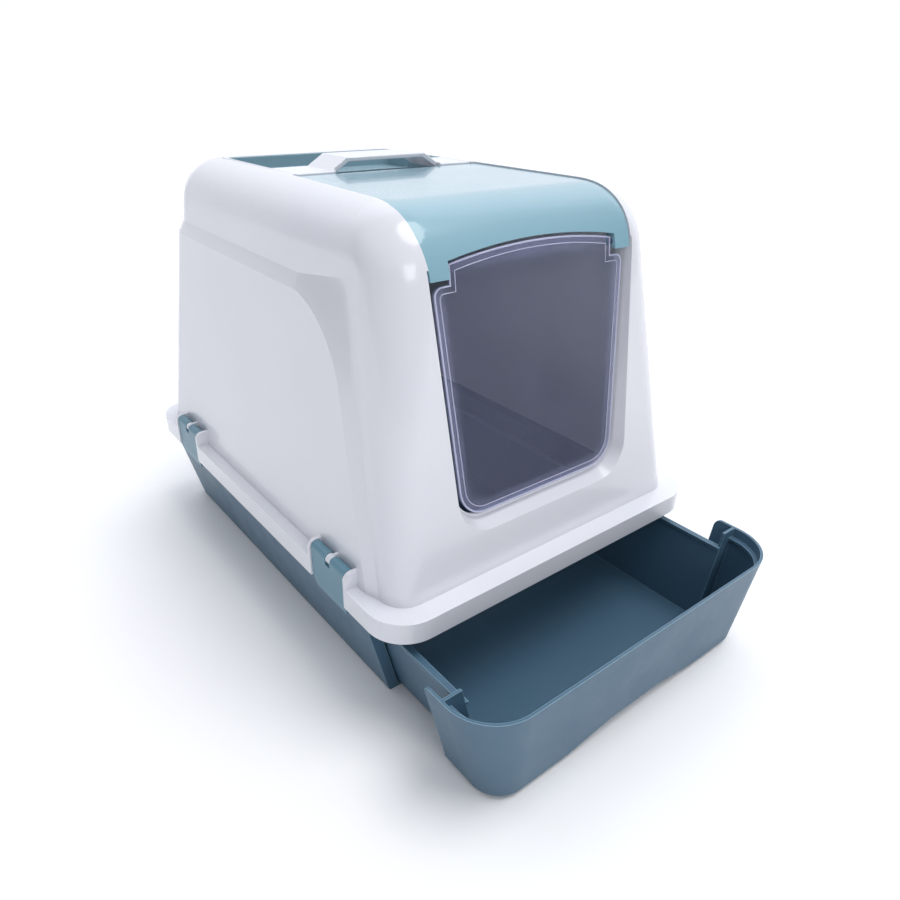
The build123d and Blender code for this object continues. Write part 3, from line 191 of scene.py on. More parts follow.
@dataclass(frozen=True)
class TintedSheet:
    """Injection-moulded tinted styrene: see-through and glossy, with a hazy border and faint scuffs."""

    name: str
    colour: str
    haze: str
    alpha: float
    alpha_spread: float
    roughness: float
    border_alpha: float = 0.34  # the moulded border is thicker, so it clouds the view more
    border_mm: float = 15.0
    half_low_mm: float = 94.0  # the sheet's half width at its bottom, and below at its top
    half_high_mm: float = 109.0
    bottom_mm: float = 172.0  # heights above the floor of its lower and its upper edge
    top_mm: float = 391.0
    ior: float = 1.59
    scuff_mm: float = 35.0
    scuff_spread: float = 0.3  # share of the roughness that the scuffs add and take
    coat: float = 0.3
    coat_roughness: float = 0.03

    def border(self, tree: bpy.types.NodeTree, place: bpy.types.NodeSocket) -> bpy.types.NodeSocket:
        """Work out the alpha that the hazy border gives, from how near the outline is.

        Args:
            tree: The material's tree.
            place: The point on the door.

        Returns:
            The alpha, high along the outline and low inside it.
        """
        split = add_node(tree, "ShaderNodeSeparateXYZ", inputs={"Vector": place}).outputs
        across = add_node(tree, "ShaderNodeMath", {"operation": "ABSOLUTE"}, {0: split["X"]})
        half = add_node(tree, "ShaderNodeMapRange", inputs={
            "Value": split["Z"], "From Min": self.bottom_mm * MM, "From Max": self.top_mm * MM,
            "To Min": self.half_low_mm * MM, "To Max": self.half_high_mm * MM})
        sides = (
            (half.outputs["Result"], across.outputs["Value"]),
            (split["Z"], self.bottom_mm * MM),
            (self.top_mm * MM, split["Z"]),
        )
        nearest = None
        for far, near in sides:
            gap = add_node(tree, "ShaderNodeMath", {"operation": "SUBTRACT"}, {0: far, 1: near})
            if nearest:
                gap = add_node(tree, "ShaderNodeMath", {"operation": "SMOOTH_MIN"}, {
                    0: nearest.outputs["Value"], 1: gap.outputs["Value"], 2: 2 * self.border_mm * MM})
            nearest = gap
        band = add_node(tree, "ShaderNodeMapRange", {"interpolation_type": "SMOOTHSTEP"}, {
            "Value": nearest.outputs["Value"], "From Min": 0.0, "From Max": self.border_mm * MM,
            "To Min": self.border_alpha, "To Max": self.alpha})
        return band.outputs["Result"]

    def material(self) -> bpy.types.Material:
        """Build the material for this finish."""
        material = bpy.data.materials.new(self.name)
        material.use_nodes = True
        tree = material.node_tree
        tree.nodes.clear()
        place = add_node(tree, "ShaderNodeTexCoord").outputs["Object"]
        cloud = add_node(tree, "ShaderNodeTexNoise", inputs={
            "Vector": place, "Scale": 1 / (self.scuff_mm * MM), "Detail": 4.0, "Roughness": 0.6})
        colour = add_node(tree, "ShaderNodeMix", {"data_type": "RGBA"}, {
            "Factor": cloud.outputs["Fac"], "A": linear(self.colour), "B": linear(self.haze)})
        alpha = add_node(tree, "ShaderNodeMapRange", inputs={
            "Value": cloud.outputs["Fac"], "From Min": NOISE_LOW, "From Max": NOISE_HIGH,
            "To Min": -self.alpha_spread, "To Max": self.alpha_spread})
        clouded = add_node(tree, "ShaderNodeMath", {"operation": "ADD"}, {
            0: self.border(tree, place), 1: alpha.outputs["Result"]})
        rough = add_node(tree, "ShaderNodeMapRange", inputs={
            "Value": cloud.outputs["Fac"], "From Min": NOISE_LOW, "From Max": NOISE_HIGH,
            "To Min": self.roughness * (1 - self.scuff_spread),
            "To Max": self.roughness * (1 + self.scuff_spread)})
        shader = add_node(tree, "ShaderNodeBsdfPrincipled", inputs={
            "Base Color": colour.outputs["Result"], "Alpha": clouded.outputs["Value"],
            "Roughness": rough.outputs["Result"], "IOR": self.ior, "Coat Weight": self.coat,
            "Coat Roughness": self.coat_roughness})
        add_node(tree, "ShaderNodeOutputMaterial", inputs={"Surface": shader.outputs["BSDF"]})
        return material


@dataclass(frozen=True)
class CarbonFelt:
    """Needled felt filled with carbon: matt, fibrous, dark grey with lighter fibres."""

    name: str
    colour: str
    fibre: str
    fibre_mm: float = 1.2
    fibre_depth_mm: float = 0.6
    roughness: float = 0.95
    sheen: float = 0.3

    def material(self) -> bpy.types.Material:
        """Build the material for this finish."""
        material = bpy.data.materials.new(self.name)
        material.use_nodes = True
        tree = material.node_tree
        tree.nodes.clear()
        place = add_node(tree, "ShaderNodeTexCoord").outputs["Object"]
        fibres = add_node(tree, "ShaderNodeTexNoise", inputs={
            "Vector": place, "Scale": 1 / (self.fibre_mm * MM), "Detail": 8.0, "Roughness": 0.75,
            "Distortion": 2.0})
        colour = add_node(tree, "ShaderNodeMix", {"data_type": "RGBA"}, {
            "Factor": fibres.outputs["Fac"], "A": linear(self.colour), "B": linear(self.fibre)})
        bump = add_node(tree, "ShaderNodeBump", inputs={
            "Height": fibres.outputs["Fac"], "Strength": 1.0, "Distance": self.fibre_depth_mm * MM})
        shader = add_node(tree, "ShaderNodeBsdfPrincipled", inputs={
            "Base Color": colour.outputs["Result"], "Normal": bump.outputs["Normal"],
            "Roughness": self.roughness, "Sheen Weight": self.sheen})
        add_node(tree, "ShaderNodeOutputMaterial", inputs={"Surface": shader.outputs["BSDF"]})
        return material


# glossy white hood: polished tool, bright broad highlights
HOOD_WHITE = MouldedPlastic("gloss_white_polypropylene", "#eaebf0", "#e2e4ec", 0.22, 0.04, 14.0, 0.002,
                            peel_detail=0.0, coat=0.5, translucence=0.04)
# glossy pale teal lid: polished tool, clean reflection of the ceiling along its bend
LID_TEAL = MouldedPlastic("gloss_teal_polypropylene", "#8fb8c6", "#86b0c0", 0.2, 0.04, 9.0, 0.003,
                          peel_detail=0.0, coat=0.6)
# satin steel blue of the base and the drawer: fine spark texture, soft highlights, and pale highlights
# painted along its rims and corners
BASE_BLUE = MouldedPlastic("satin_blue_polypropylene", "#4d6e85", "#48677d", 0.42, 0.06, 1.2, 0.006,
                           highlight_colour="#9cc0d2")
# satin clips: the base's blue with a little more green, with pale highlights painted along their edges
CLIP_BLUE = MouldedPlastic("satin_blue_green_polypropylene", "#6a94a6", "#628b9e", 0.36, 0.05, 1.2, 0.005,
                           highlight_colour="#9cc0cc")
# satin pale blue dish over the filter: soft, even tone
COVER_BLUE = MouldedPlastic("satin_pale_blue_polypropylene", "#93b2be", "#8aa9b6", 0.36, 0.05, 1.5, 0.005)
# satin light blue of the slotted step, which shows through the door
GRILLE_BLUE = MouldedPlastic("satin_light_blue_polypropylene", "#7f9dbd", "#7593b4", 0.4, 0.05, 1.5,
                             0.005)
# smoky lilac door: clear enough to show the inside, cloudier along its border
DOOR_LILAC = TintedSheet("tinted_lilac_styrene", "#9a9dc6", "#a4a8ce", 0.1, 0.01, 0.1)
# the door's beads, polished and paler than its panel because light gathers in them
BEAD_LILAC = MouldedPlastic("polished_lilac_styrene", "#c3c5de", "#b9bbd6", 0.16, 0.03, 9.0, 0.001,
                            peel_detail=0.0, coat=0.4, ior=1.59, translucence=0.1)
# filter: dull charcoal grey with paler fibres
FELT = CarbonFelt("carbon_felt", "#26282b", "#4a4d52")
# matt white floor that takes a soft shadow
FLOOR_WHITE = MouldedPlastic("pale_studio_floor", "#ffffff", "#fcfcfd", 0.8, 0.02, 20.0, 0.001)

Finish = MouldedPlastic | TintedSheet | CarbonFelt


# ------------------------------------------------------------------ studio
@dataclass(frozen=True)
class Screen:
    """A wide overhead screen, so far off that it lights everything evenly."""

    name: str
    towards: tuple[float, float, float]
    strength: float  # in watts for each square metre
    spread: float  # how wide it looks, in degrees

    def build(self) -> None:
        """Hang the screen."""
        data = bpy.data.lights.new(self.name, "SUN")
        data.energy = self.strength
        data.angle = math.radians(self.spread)
        light = bpy.data.objects.new(self.name, data)
        light.rotation_euler = Vector(self.towards).to_track_quat("Z", "Y").to_euler()
        bpy.context.collection.objects.link(light)


@dataclass(frozen=True)
class SoftBox:
    """A square area light that faces a target."""

    name: str
    place: tuple[float, float, float]
    target: tuple[float, float, float]
    side: float
    power: float  # in watts

    def build(self) -> None:
        """Hang the light."""
        data = bpy.data.lights.new(self.name, "AREA")
        data.size = self.side
        data.energy = self.power
        light = bpy.data.objects.new(self.name, data)
        light.location = self.place
        facing = Vector(self.target) - Vector(self.place)
        light.rotation_euler = facing.to_track_quat("-Z", "Y").to_euler()
        bpy.context.collection.objects.link(light)


@dataclass
class Studio:
    """The camera, the floor and the lights, in metres."""

    camera_at: tuple[float, float, float] = (-0.432432, -0.630981, 0.516392)
    camera_turn: tuple[float, float, float] = (62.2562, -0.9603, -38.3269)  # degrees about X, Y, Z
    lens_mm: float = 28.93
    sensor_mm: float = 36.0
    floor_half: float = 6.0
    view_transform: str = "Standard"
    glow_colour: str = "#f0f3fa"
    backdrop_way: tuple[float, float, float] = (0.6, 0.8, 0.0)  # where the white backdrop stands
    backdrop_edge: tuple[float, float] = (0.2, 0.6)  # cosines between which it fades in
    backdrop_glow: float = 1.15
    room_glow: float = 0.12
    ceiling_edge: tuple[float, float] = (0.25, 0.8)  # heights of view between which it fades in
    ceiling_glow: float = 0.6
    lights: tuple[Screen | SoftBox, ...] = (
        Screen("overhead_light", (0.3, -0.22, 1.0), 1.3, 38.0),
        SoftBox("front_light", (-0.5, -2.2, 1.3), (0.0, -0.2, 0.25), 0.9, 9.0),
    )

    def build(self) -> None:
        """Make everything that isn't part of the object."""
        self.camera()
        self.floor()
        self.world()
        for light in self.lights:
            light.build()

    def camera(self) -> None:
        """Place the camera at the viewing angle, framed for a square picture."""
        data = bpy.data.cameras.new("camera")
        data.lens = self.lens_mm
        data.sensor_width = self.sensor_mm
        data.sensor_fit = "HORIZONTAL"
        camera = bpy.data.objects.new("camera", data)
        camera.location = self.camera_at
        camera.rotation_euler = Euler([math.radians(angle) for angle in self.camera_turn])
        bpy.context.collection.objects.link(camera)
        bpy.context.scene.camera = camera

    def floor(self) -> None:
        """Lay the pale floor."""
        mesh = bpy.data.meshes.new("studio_floor")
        half = self.floor_half
        mesh.from_pydata([(-half, -half, 0), (half, -half, 0), (half, half, 0), (-half, half, 0)], [],
                         [(0, 1, 2, 3)])
        floor = bpy.data.objects.new("studio_floor", mesh)
        bpy.context.collection.objects.link(floor)
        mesh.materials.append(FLOOR_WHITE.material())

    def world(self) -> None:
        """Give the room a glowing ceiling and a white backdrop, with tones shown as they are."""
        bpy.context.scene.view_settings.view_transform = self.view_transform
        world = bpy.data.worlds.new("studio")
        world.use_nodes = True
        tree = world.node_tree
        tree.nodes.clear()
        way = add_node(tree, "ShaderNodeTexCoord").outputs["Generated"]
        behind = add_node(tree, "ShaderNodeVectorMath", {"operation": "DOT_PRODUCT"}, {
            0: way, 1: self.backdrop_way})
        strength = add_node(tree, "ShaderNodeMapRange", {"interpolation_type": "SMOOTHSTEP"}, {
            "Value": behind.outputs["Value"], "From Min": self.backdrop_edge[0],
            "From Max": self.backdrop_edge[1], "To Min": self.room_glow, "To Max": self.backdrop_glow})
        height = add_node(tree, "ShaderNodeSeparateXYZ", inputs={"Vector": way})
        ceiling = add_node(tree, "ShaderNodeMapRange", {"interpolation_type": "SMOOTHSTEP"}, {
            "Value": height.outputs["Z"], "From Min": self.ceiling_edge[0],
            "From Max": self.ceiling_edge[1], "To Min": 0.0, "To Max": self.ceiling_glow})
        both = add_node(tree, "ShaderNodeMath", {"operation": "ADD"}, {
            0: strength.outputs["Result"], 1: ceiling.outputs["Result"]})
        glow = add_node(tree, "ShaderNodeBackground", inputs={
            "Color": linear(self.glow_colour), "Strength": both.outputs["Value"]})
        add_node(tree, "ShaderNodeOutputWorld", inputs={"Surface": glow.outputs["Background"]})
        bpy.context.scene.world = world


# ------------------------------------------------------------------ pieces
FINISHES: dict[str, bpy.types.Material] = {}


def finish_material(finish: Finish) -> bpy.types.Material:
    """Return the one material of a finish, made the first time it is asked for."""
    if finish.name not in FINISHES:
        FINISHES[finish.name] = finish.material()
    return FINISHES[finish.name]


def dress(node: str, finish: Finish) -> None:
    """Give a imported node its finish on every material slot.

    Args:
        node: The node's name.
        finish: The finish it gets.
    """
    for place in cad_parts[node].material_slots:
        place.material = finish_material(finish)
    log.info("%s dressed in %s", node, finish.name)


def plain_mesh(piece: bpy.types.Object) -> None:
    """Turn a piece's modifiers into plain geometry and take them off."""
    evaluated = piece.evaluated_get(bpy.context.evaluated_depsgraph_get())
    piece.data = bpy.data.meshes.new_from_object(evaluated)
    piece.modifiers.clear()


INWARD_SHARE = 0.03  # a corner is looked up this far towards its face's middle
LEAST_MATCH = 0.5  # cosine below which a looked-up normal belongs to another face


def true_normals(piece: bpy.types.Object, source: bpy.types.Object) -> None:
    """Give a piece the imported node's exact normals, and let its eased edges turn between them.

    Args:
        piece: The eased piece, whose easing faces have material index 1.
        source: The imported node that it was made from.
    """
    ends = source.data
    corners = ends.corner_normals
    tree = BVHTree.FromPolygons([v.co for v in ends.vertices], [p.vertices[:] for p in ends.polygons])
    mesh = piece.data
    normals = [Vector()] * len(mesh.loops)
    at_vertex: dict[int, Vector] = {}
    for face in mesh.polygons:
        if face.material_index:
            continue
        for loop in face.loop_indices:
            vertex = mesh.loops[loop].vertex_index
            place = mesh.vertices[vertex].co
            under = ends.polygons[tree.find_nearest(place.lerp(face.center, INWARD_SHARE))[2]]
            shares = poly_3d_calc([ends.vertices[v].co for v in under.vertices], place)
            parts = [corners[c].vector * share for c, share in zip(under.loop_indices, shares)]
            normal = sum(parts, Vector())
            if normal.normalized().dot(face.normal) < LEAST_MATCH:
                normal = face.normal.copy()
            normals[loop] = normal.normalized()
            at_vertex[vertex] = at_vertex.get(vertex, Vector()) + normals[loop]
    for face in mesh.polygons:
        if not face.material_index:
            continue
        for loop in face.loop_indices:
            vertex = mesh.loops[loop].vertex_index
            normals[loop] = at_vertex.get(vertex, mesh.vertices[vertex].normal).normalized()
    mesh.normals_split_custom_set(normals)


@dataclass
class EasedMoulding:
    """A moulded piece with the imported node's shape, whose edges are eased as a real tool leaves them."""

    node: str
    body: str
    slot: Slot
    finish: MouldedPlastic
    ease_mm: float = 0.5
    ease_steps: int = 2
    sharp_angle: float = 32.0  # edges that turn by more than this, in degrees, are eased
    merge_mm: float = 0.004
    flat_angle: float = 0.4  # faces that turn by less than this are one flat face

    def build(self) -> None:
        """Make the piece, and let it stand for its node."""
        dress(self.node, self.finish)
        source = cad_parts[self.node]
        mesh = source.data.copy()
        mesh.name = self.node + "_moulding"
        shape = bmesh.new()
        shape.from_mesh(mesh)
        bmesh.ops.remove_doubles(shape, verts=shape.verts, dist=self.merge_mm * MM)
        bmesh.ops.dissolve_limit(shape, angle_limit=math.radians(self.flat_angle), verts=shape.verts,
                                 edges=shape.edges)
        shape.to_mesh(mesh)
        shape.free()
        if mesh.attributes.get("custom_normal"):
            mesh.attributes.remove(mesh.attributes["custom_normal"])
        piece = bpy.data.objects.new(self.node + "_moulding", mesh)
        bpy.context.collection.objects.link(piece)
        bevel = piece.modifiers.new("ease", "BEVEL")
        bevel.width = self.ease_mm * MM
        bevel.segments = self.ease_steps
        bevel.limit_method = "ANGLE"
        bevel.angle_limit = math.radians(self.sharp_angle)
        bevel.material = 1
        mesh.materials.clear()
        mesh.materials.append(finish_material(self.finish))
        mesh.materials.append(finish_material(self.finish))
        plain_mesh(piece)
        piece.data.shade_smooth()
        true_normals(piece, source)
        piece.data.polygons.foreach_set("material_index", [0] * len(piece.data.polygons))
        piece.data.materials.pop(index=1)
        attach(piece, self.body)
        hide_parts(self.node)
        log.info("%s eased: %d faces", self.node, len(piece.data.polygons))


def grown_piece(name: str, tree: bpy.types.NodeTree, values: dict, base: bpy.types.Mesh | None = None,
                ) -> bpy.types.Object:
    """Run a geometry tree once and keep what it makes as a plain mesh.

    Args:
        name: The new piece's name.
        tree: The geometry tree.
        values: The tree's named inputs.
        base: The mesh that the tree starts from, if it needs one.

    Returns:
        The new piece.
    """
    piece = bpy.data.objects.new(name, base or bpy.data.meshes.new(name))
    bpy.context.collection.objects.link(piece)
    modifier = piece.modifiers.new("grow", "NODES")
    modifier.node_group = tree
    for socket in tree.interface.items_tree:
        if socket.in_out == "INPUT" and socket.name in values:
            modifier[socket.identifier] = values[socket.name]
    plain_mesh(piece)
    return piece


def geometry_tree(name: str, inputs: dict[str, str]) -> tuple[bpy.types.NodeTree, bpy.types.Node]:
    """Start a geometry tree.

    Args:
        name: The tree's name.
        inputs: The socket type of each named input.

    Returns:
        The tree and its input node.
    """
    tree = bpy.data.node_groups.new(name, "GeometryNodeTree")
    for label, kind in inputs.items():
        tree.interface.new_socket(label, in_out="INPUT", socket_type=kind)
    tree.interface.new_socket("Geometry", in_out="OUTPUT", socket_type="NodeSocketGeometry")
    return tree, add_node(tree, "NodeGroupInput")


def close_tree(tree: bpy.types.NodeTree, shape: bpy.types.NodeSocket, finish: MouldedPlastic) -> None:
    """End a geometry tree with smooth, real faces in their finish.

    Args:
        tree: The tree.
        shape: What it has made so far.
        finish: The finish of all of it.
    """
    smooth = add_node(tree, "GeometryNodeSetShadeSmooth", inputs={"Geometry": shape})
    real = add_node(tree, "GeometryNodeRealizeInstances", inputs={"Geometry": smooth.outputs["Geometry"]})
    dressed = add_node(tree, "GeometryNodeSetMaterial", inputs={
        "Geometry": real.outputs["Geometry"], "Material": finish_material(finish)})
    add_node(tree, "NodeGroupOutput", inputs={"Geometry": dressed.outputs["Geometry"]})


class Way(Enum):
    """The direction that ribs run in, as a turn in degrees from the object's length."""

    ACROSS = 90.0
    ALONG = 0.0


@dataclass
class RibField:
    """Low rounded ribs in even rows and columns, on the face that carries them."""

    name: str
    body: str
    slot: Slot
    finish: MouldedPlastic
    centre_mm: tuple[float, float, float]
    columns: int
    column_pitch_mm: float
    rows: int
    row_pitch_mm: float
    length_mm: float
    width_mm: float
    height_mm: float
    way: Way
    sides: int = 10
    spans: int = 8
    taper_from: float = 0.9  # share of the half length at which a rib starts to taper
    taper_to: float = 0.45  # share of the width that is left at its end

    def tree(self) -> bpy.types.NodeTree:
        """Build the tree: one rib whose ends taper off, set on a field of points."""
        tree, given = geometry_tree(self.name + "_tree", {
            "Columns": "NodeSocketInt", "Column step": "NodeSocketVector", "Rows": "NodeSocketInt",
            "Row step": "NodeSocketVector", "Corner": "NodeSocketVector",
            "Rib start": "NodeSocketVector", "Rib end": "NodeSocketVector",
            "Rib radius": "NodeSocketFloat", "Rib flatness": "NodeSocketVector",
            "Turn": "NodeSocketVector"})
        sizes = given.outputs
        line = add_node(tree, "GeometryNodeCurvePrimitiveLine", inputs={
            "Start": sizes["Rib start"], "End": sizes["Rib end"]})
        steps = add_node(tree, "GeometryNodeResampleCurve", inputs={
            "Curve": line.outputs["Curve"], "Count": self.spans + 1})
        along = add_node(tree, "GeometryNodeSplineParameter")
        from_middle = add_node(tree, "ShaderNodeMapRange", inputs={
            "Value": along.outputs["Factor"], "To Min": -1.0, "To Max": 1.0})
        distance = add_node(tree, "ShaderNodeMath", {"operation": "ABSOLUTE"}, {
            0: from_middle.outputs["Result"]})
        taper = add_node(tree, "ShaderNodeMapRange", inputs={
            "Value": distance.outputs["Value"], "From Min": self.taper_from, "From Max": 1.0,
            "To Min": 1.0, "To Max": self.taper_to})
        round_section = add_node(tree, "GeometryNodeCurvePrimitiveCircle", inputs={
            "Resolution": self.sides, "Radius": sizes["Rib radius"]})
        rib = add_node(tree, "GeometryNodeCurveToMesh", inputs={
            "Curve": steps.outputs["Curve"], "Profile Curve": round_section.outputs["Curve"],
            "Scale": taper.outputs["Result"], "Fill Caps": True})
        flat = add_node(tree, "GeometryNodeTransform", inputs={
            "Geometry": rib.outputs["Mesh"], "Rotation": sizes["Turn"], "Scale": sizes["Rib flatness"]})
        column = add_node(tree, "GeometryNodeMeshLine", inputs={
            "Count": sizes["Rows"], "Offset": sizes["Row step"]})
        row = add_node(tree, "GeometryNodeMeshLine", inputs={
            "Count": sizes["Columns"], "Start Location": sizes["Corner"], "Offset": sizes["Column step"]})
        grid = add_node(tree, "GeometryNodeInstanceOnPoints", inputs={
            "Points": row.outputs["Mesh"], "Instance": column.outputs["Mesh"]})
        places = add_node(tree, "GeometryNodeRealizeInstances", inputs={
            "Geometry": grid.outputs["Instances"]})
        ribs = add_node(tree, "GeometryNodeInstanceOnPoints", inputs={
            "Points": places.outputs["Geometry"], "Instance": flat.outputs["Geometry"]})
        close_tree(tree, ribs.outputs["Instances"], self.finish)
        return tree

    def build(self) -> None:
        """Make the ribs, and let them ride on the body that carries them."""
        half = self.length_mm / 2 * MM
        reach_x = (self.columns - 1) / 2 * self.column_pitch_mm
        reach_y = (self.rows - 1) / 2 * self.row_pitch_mm
        x, y, z = self.centre_mm
        piece = grown_piece(self.name, self.tree(), {
            "Columns": self.columns, "Column step": (self.column_pitch_mm * MM, 0.0, 0.0),
            "Rows": self.rows, "Row step": (0.0, self.row_pitch_mm * MM, 0.0),
            "Corner": ((x - reach_x) * MM, (y - reach_y) * MM, z * MM),
            "Rib start": (0.0, -half, 0.0), "Rib end": (0.0, half, 0.0),
            "Rib radius": self.width_mm / 2 * MM,
            "Rib flatness": (1.0, 1.0, 2 * self.height_mm / self.width_mm),
            "Turn": (0.0, 0.0, math.radians(self.way.value))})
        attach(piece, self.body)
        log.info("%s: %d ribs", self.name, self.columns * self.rows)


@dataclass
class DoorBeads:
    """Fine raised beads that follow the swing door's outline on its outer face."""

    finish: MouldedPlastic
    pin_y_mm: float = -201.0
    pin_z_mm: float = 382.0
    tilt: float = 7.757  # the panel leans back from its bottom edge to its pins
    half_thickness_mm: float = 1.2
    bottom_z_mm: float = 172.1
    shoulder_z_mm: float = 371.0
    neck_z_mm: float = 387.0
    half_low_mm: float = 94.2
    half_shoulder_mm: float = 108.5
    half_neck_mm: float = 92.4
    arch_rise_mm: float = 7.7
    corner_radius_mm: float = 28.0
    shoulder_radius_mm: float = 8.0
    arc_steps: int = 10
    bead_sides: int = 10
    # distance in from the outline, and the bead's radius
    beads_mm: tuple[tuple[float, float], ...] = ((0.9, 0.9), (6.0, 0.45))

    def along(self, height_mm: float) -> float:
        """Return the distance up the door, from its pins, of a height."""
        return (height_mm - self.pin_z_mm) / math.cos(math.radians(self.tilt))

    def rounded(self, before: Vector, at: Vector, after: Vector, radius: float) -> list[Vector]:
        """Round one corner of the outline.

        Args:
            before: The point before the corner.
            at: The corner.
            after: The point after it.
            radius: The corner's radius, in mm.

        Returns:
            Points along the arc.
        """
        back, on = (before - at).normalized(), (after - at).normalized()
        half_angle = back.angle(on) / 2
        middle = at + (back + on).normalized() * (radius / math.sin(half_angle))
        start = at + back * (radius / math.tan(half_angle)) - middle
        end = at + on * (radius / math.tan(half_angle)) - middle
        turn = start.angle_signed(end)
        points = []
        for step in range(self.arc_steps + 1):
            spoke = start.copy()
            spoke.rotate(Matrix.Rotation(-turn * step / self.arc_steps, 2))
            points.append(middle + spoke)
        return points

    def outline(self, inset: float) -> list[Vector]:
        """Return the outline on the door's own plane, drawn in.

        Args:
            inset: How far it is drawn in, in mm.

        Returns:
            The points of the closed outline.
        """
        low = self.along(self.bottom_z_mm) + inset
        shoulder = self.along(self.shoulder_z_mm) - inset
        neck = self.along(self.neck_z_mm) - inset
        half_low, half_shoulder = self.half_low_mm - inset, self.half_shoulder_mm - inset
        half_neck = self.half_neck_mm - inset
        corners = [
            (Vector((half_neck, neck)), 0.0), (Vector((half_neck, shoulder)), 0.0),
            (Vector((half_shoulder, shoulder)), self.shoulder_radius_mm - min(inset, 4.0)),
            (Vector((half_low, low)), self.corner_radius_mm - inset),
            (Vector((-half_low, low)), self.corner_radius_mm - inset),
            (Vector((-half_shoulder, shoulder)), self.shoulder_radius_mm - min(inset, 4.0)),
            (Vector((-half_neck, shoulder)), 0.0), (Vector((-half_neck, neck)), 0.0),
        ]
        points: list[Vector] = []
        for place, (at, radius) in enumerate(corners):
            if radius:
                points += self.rounded(corners[place - 1][0], at, corners[place + 1][0], radius)
            else:
                points.append(at)
        # the arched top edge closes the outline
        arch_steps = 2 * self.arc_steps
        for step in range(1, arch_steps):
            share = 2 * step / arch_steps - 1
            points.append(Vector((share * half_neck, neck + self.arch_rise_mm * (1 - share ** 2))))
        return points

    def ring(self, inset: float) -> bpy.types.Mesh:
        """Return a ring of edges on the door's outer face.

        Args:
            inset: How far the ring is drawn in from the outline, in mm.

        Returns:
            A mesh with one closed chain of edges.
        """
        lean = math.radians(self.tilt)
        up = Vector((0.0, math.sin(lean), math.cos(lean)))
        out = Vector((0.0, -math.cos(lean), math.sin(lean)))
        pins = Vector((0.0, self.pin_y_mm, self.pin_z_mm))
        face = pins + out * self.half_thickness_mm
        points = [(face + Vector((p.x, 0.0, 0.0)) + up * p.y) * MM for p in self.outline(inset)]
        mesh = bpy.data.meshes.new("door_bead_ring")
        mesh.from_pydata(points, [(i, (i + 1) % len(points)) for i in range(len(points))], [])
        return mesh

    def tree(self) -> bpy.types.NodeTree:
        """Build the tree: a round bead along a ring of edges."""
        tree, given = geometry_tree("door_bead_tree", {
            "Ring": "NodeSocketGeometry", "Bead radius": "NodeSocketFloat"})
        path = add_node(tree, "GeometryNodeMeshToCurve", inputs={"Mesh": given.outputs["Ring"]})
        section = add_node(tree, "GeometryNodeCurvePrimitiveCircle", inputs={
            "Resolution": self.bead_sides, "Radius": given.outputs["Bead radius"]})
        bead = add_node(tree, "GeometryNodeCurveToMesh", inputs={
            "Curve": path.outputs["Curve"], "Profile Curve": section.outputs["Curve"]})
        close_tree(tree, bead.outputs["Mesh"], self.finish)
        return tree

    def build(self) -> None:
        """Make the beads, and let them ride on the door."""
        tree = self.tree()
        for number, (inset, radius) in enumerate(self.beads_mm, 1):
            sizes = {"Bead radius": radius * MM}
            bead = grown_piece(f"door_bead_{number}", tree, sizes, self.ring(inset))
            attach(bead, "door")
            log.info("%s: %d faces", bead.name, len(bead.data.polygons))


# ------------------------------------------------------------------ sub-assemblies
@dataclass
class BaseAndDrawer:
    """The tray that stands on the floor, the drawer in it and the slotted step over its front."""

    rib_count: int = 47
    rib_pitch_mm: float = 7.0
    rib_length_mm: float = 76.0
    rib_width_mm: float = 3.0
    rib_height_mm: float = 0.9
    rib_centre_mm: tuple[float, float, float] = (0.0, -201.0, 115.3)  # on the step's top face

    def build(self) -> None:
        """Ease both trays, and dress and rib the step."""
        EasedMoulding("base_tray", "root", Slot.BASE, BASE_BLUE).build()
        EasedMoulding("drawer_tray", "drawer", Slot.BASE, BASE_BLUE).build()
        dress("entry_grille", GRILLE_BLUE)
        RibField(
            "grille_ribs", "root", Slot.GRILLE, GRILLE_BLUE, centre_mm=self.rib_centre_mm,
            columns=self.rib_count, column_pitch_mm=self.rib_pitch_mm, rows=1, row_pitch_mm=0.0,
            length_mm=self.rib_length_mm, width_mm=self.rib_width_mm, height_mm=self.rib_height_mm,
            way=Way.ALONG,
        ).build()


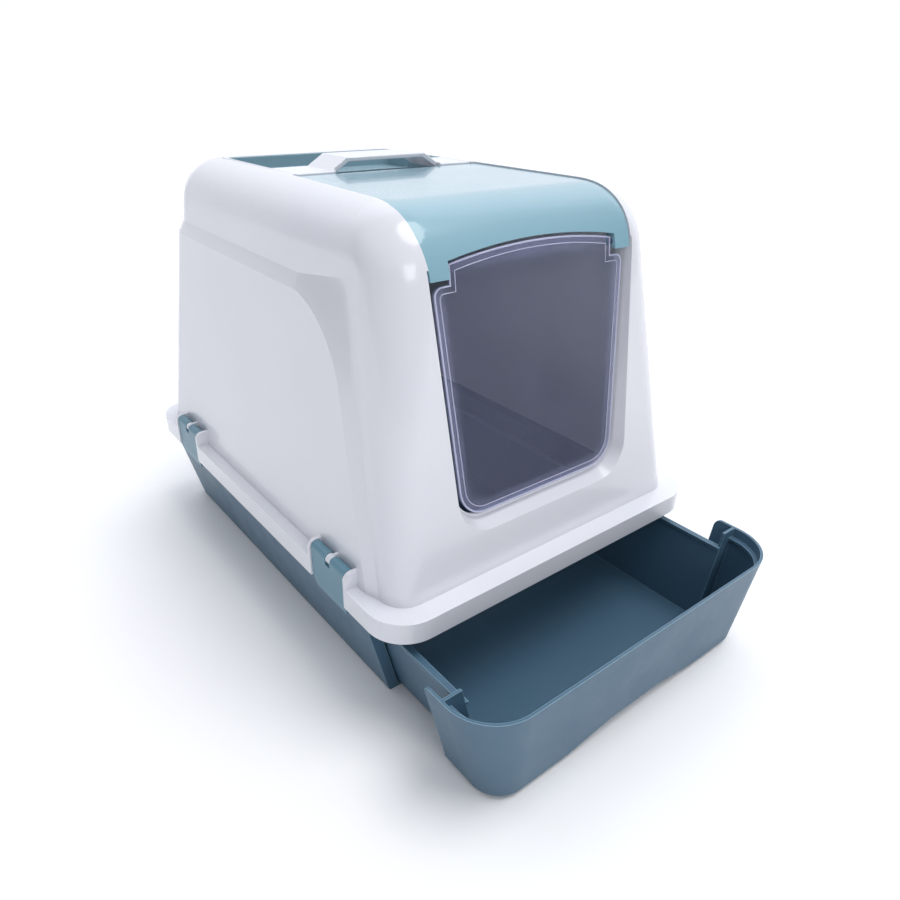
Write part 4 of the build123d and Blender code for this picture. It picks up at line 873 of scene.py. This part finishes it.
@dataclass
class Hood:
    """The hood and the carry handle across its top."""

    handle_ease_mm: float = 1.2

    def build(self) -> None:
        """Ease both mouldings."""
        EasedMoulding("hood_shell", "hood", Slot.HOOD, HOOD_WHITE).build()
        EasedMoulding("carry_handle", "hood", Slot.HOOD, HOOD_WHITE, self.handle_ease_mm).build()


@dataclass
class Filter:
    """The carbon felt and its vented cover."""

    rib_columns: int = 3
    rib_column_pitch_mm: float = 52.0
    rib_rows: int = 8
    rib_row_pitch_mm: float = 10.0
    rib_length_mm: float = 44.0
    rib_width_mm: float = 2.6
    rib_height_mm: float = 0.9
    rib_centre_mm: tuple[float, float, float] = (0.0, 118.3, 411.5)  # on the cover's floor

    def build(self) -> None:
        """Dress the felt, and ease and rib the cover."""
        dress("carbon_filter", FELT)
        EasedMoulding("filter_cover", "filter_lid", Slot.COVER, COVER_BLUE).build()
        RibField(
            "filter_cover_ribs", "filter_lid", Slot.COVER, COVER_BLUE, centre_mm=self.rib_centre_mm,
            columns=self.rib_columns, column_pitch_mm=self.rib_column_pitch_mm, rows=self.rib_rows,
            row_pitch_mm=self.rib_row_pitch_mm, length_mm=self.rib_length_mm,
            width_mm=self.rib_width_mm, height_mm=self.rib_height_mm, way=Way.ACROSS,
        ).build()


@dataclass
class LidAndDoor:
    """The lid and the clear door that swings in its ears."""

    beads: DoorBeads = field(default_factory=lambda: DoorBeads(BEAD_LILAC))

    def build(self) -> None:
        """Ease the lid, and dress and bead the door."""
        EasedMoulding("top_flap", "lid", Slot.LID, LID_TEAL).build()
        dress("swing_door", DOOR_LILAC)
        self.beads.build()


@dataclass
class Clips:
    """The four clips that hold the hood down."""

    ease_mm: float = 0.6

    def build(self) -> None:
        """Ease every clip."""
        for end in ("front", "rear"):
            for side in ("left", "right"):
                name = f"clip_{end}_{side}"
                EasedMoulding(name, name + "_body", Slot.CLIP, CLIP_BLUE, self.ease_mm).build()


def main() -> None:
    logging.basicConfig(level=logging.INFO, format="%(message)s")
    Studio().build()
    for assembly in (BaseAndDrawer(), Hood(), Filter(), LidAndDoor(), Clips()):
        assembly.build()


if __name__ == "__main__":
    main()
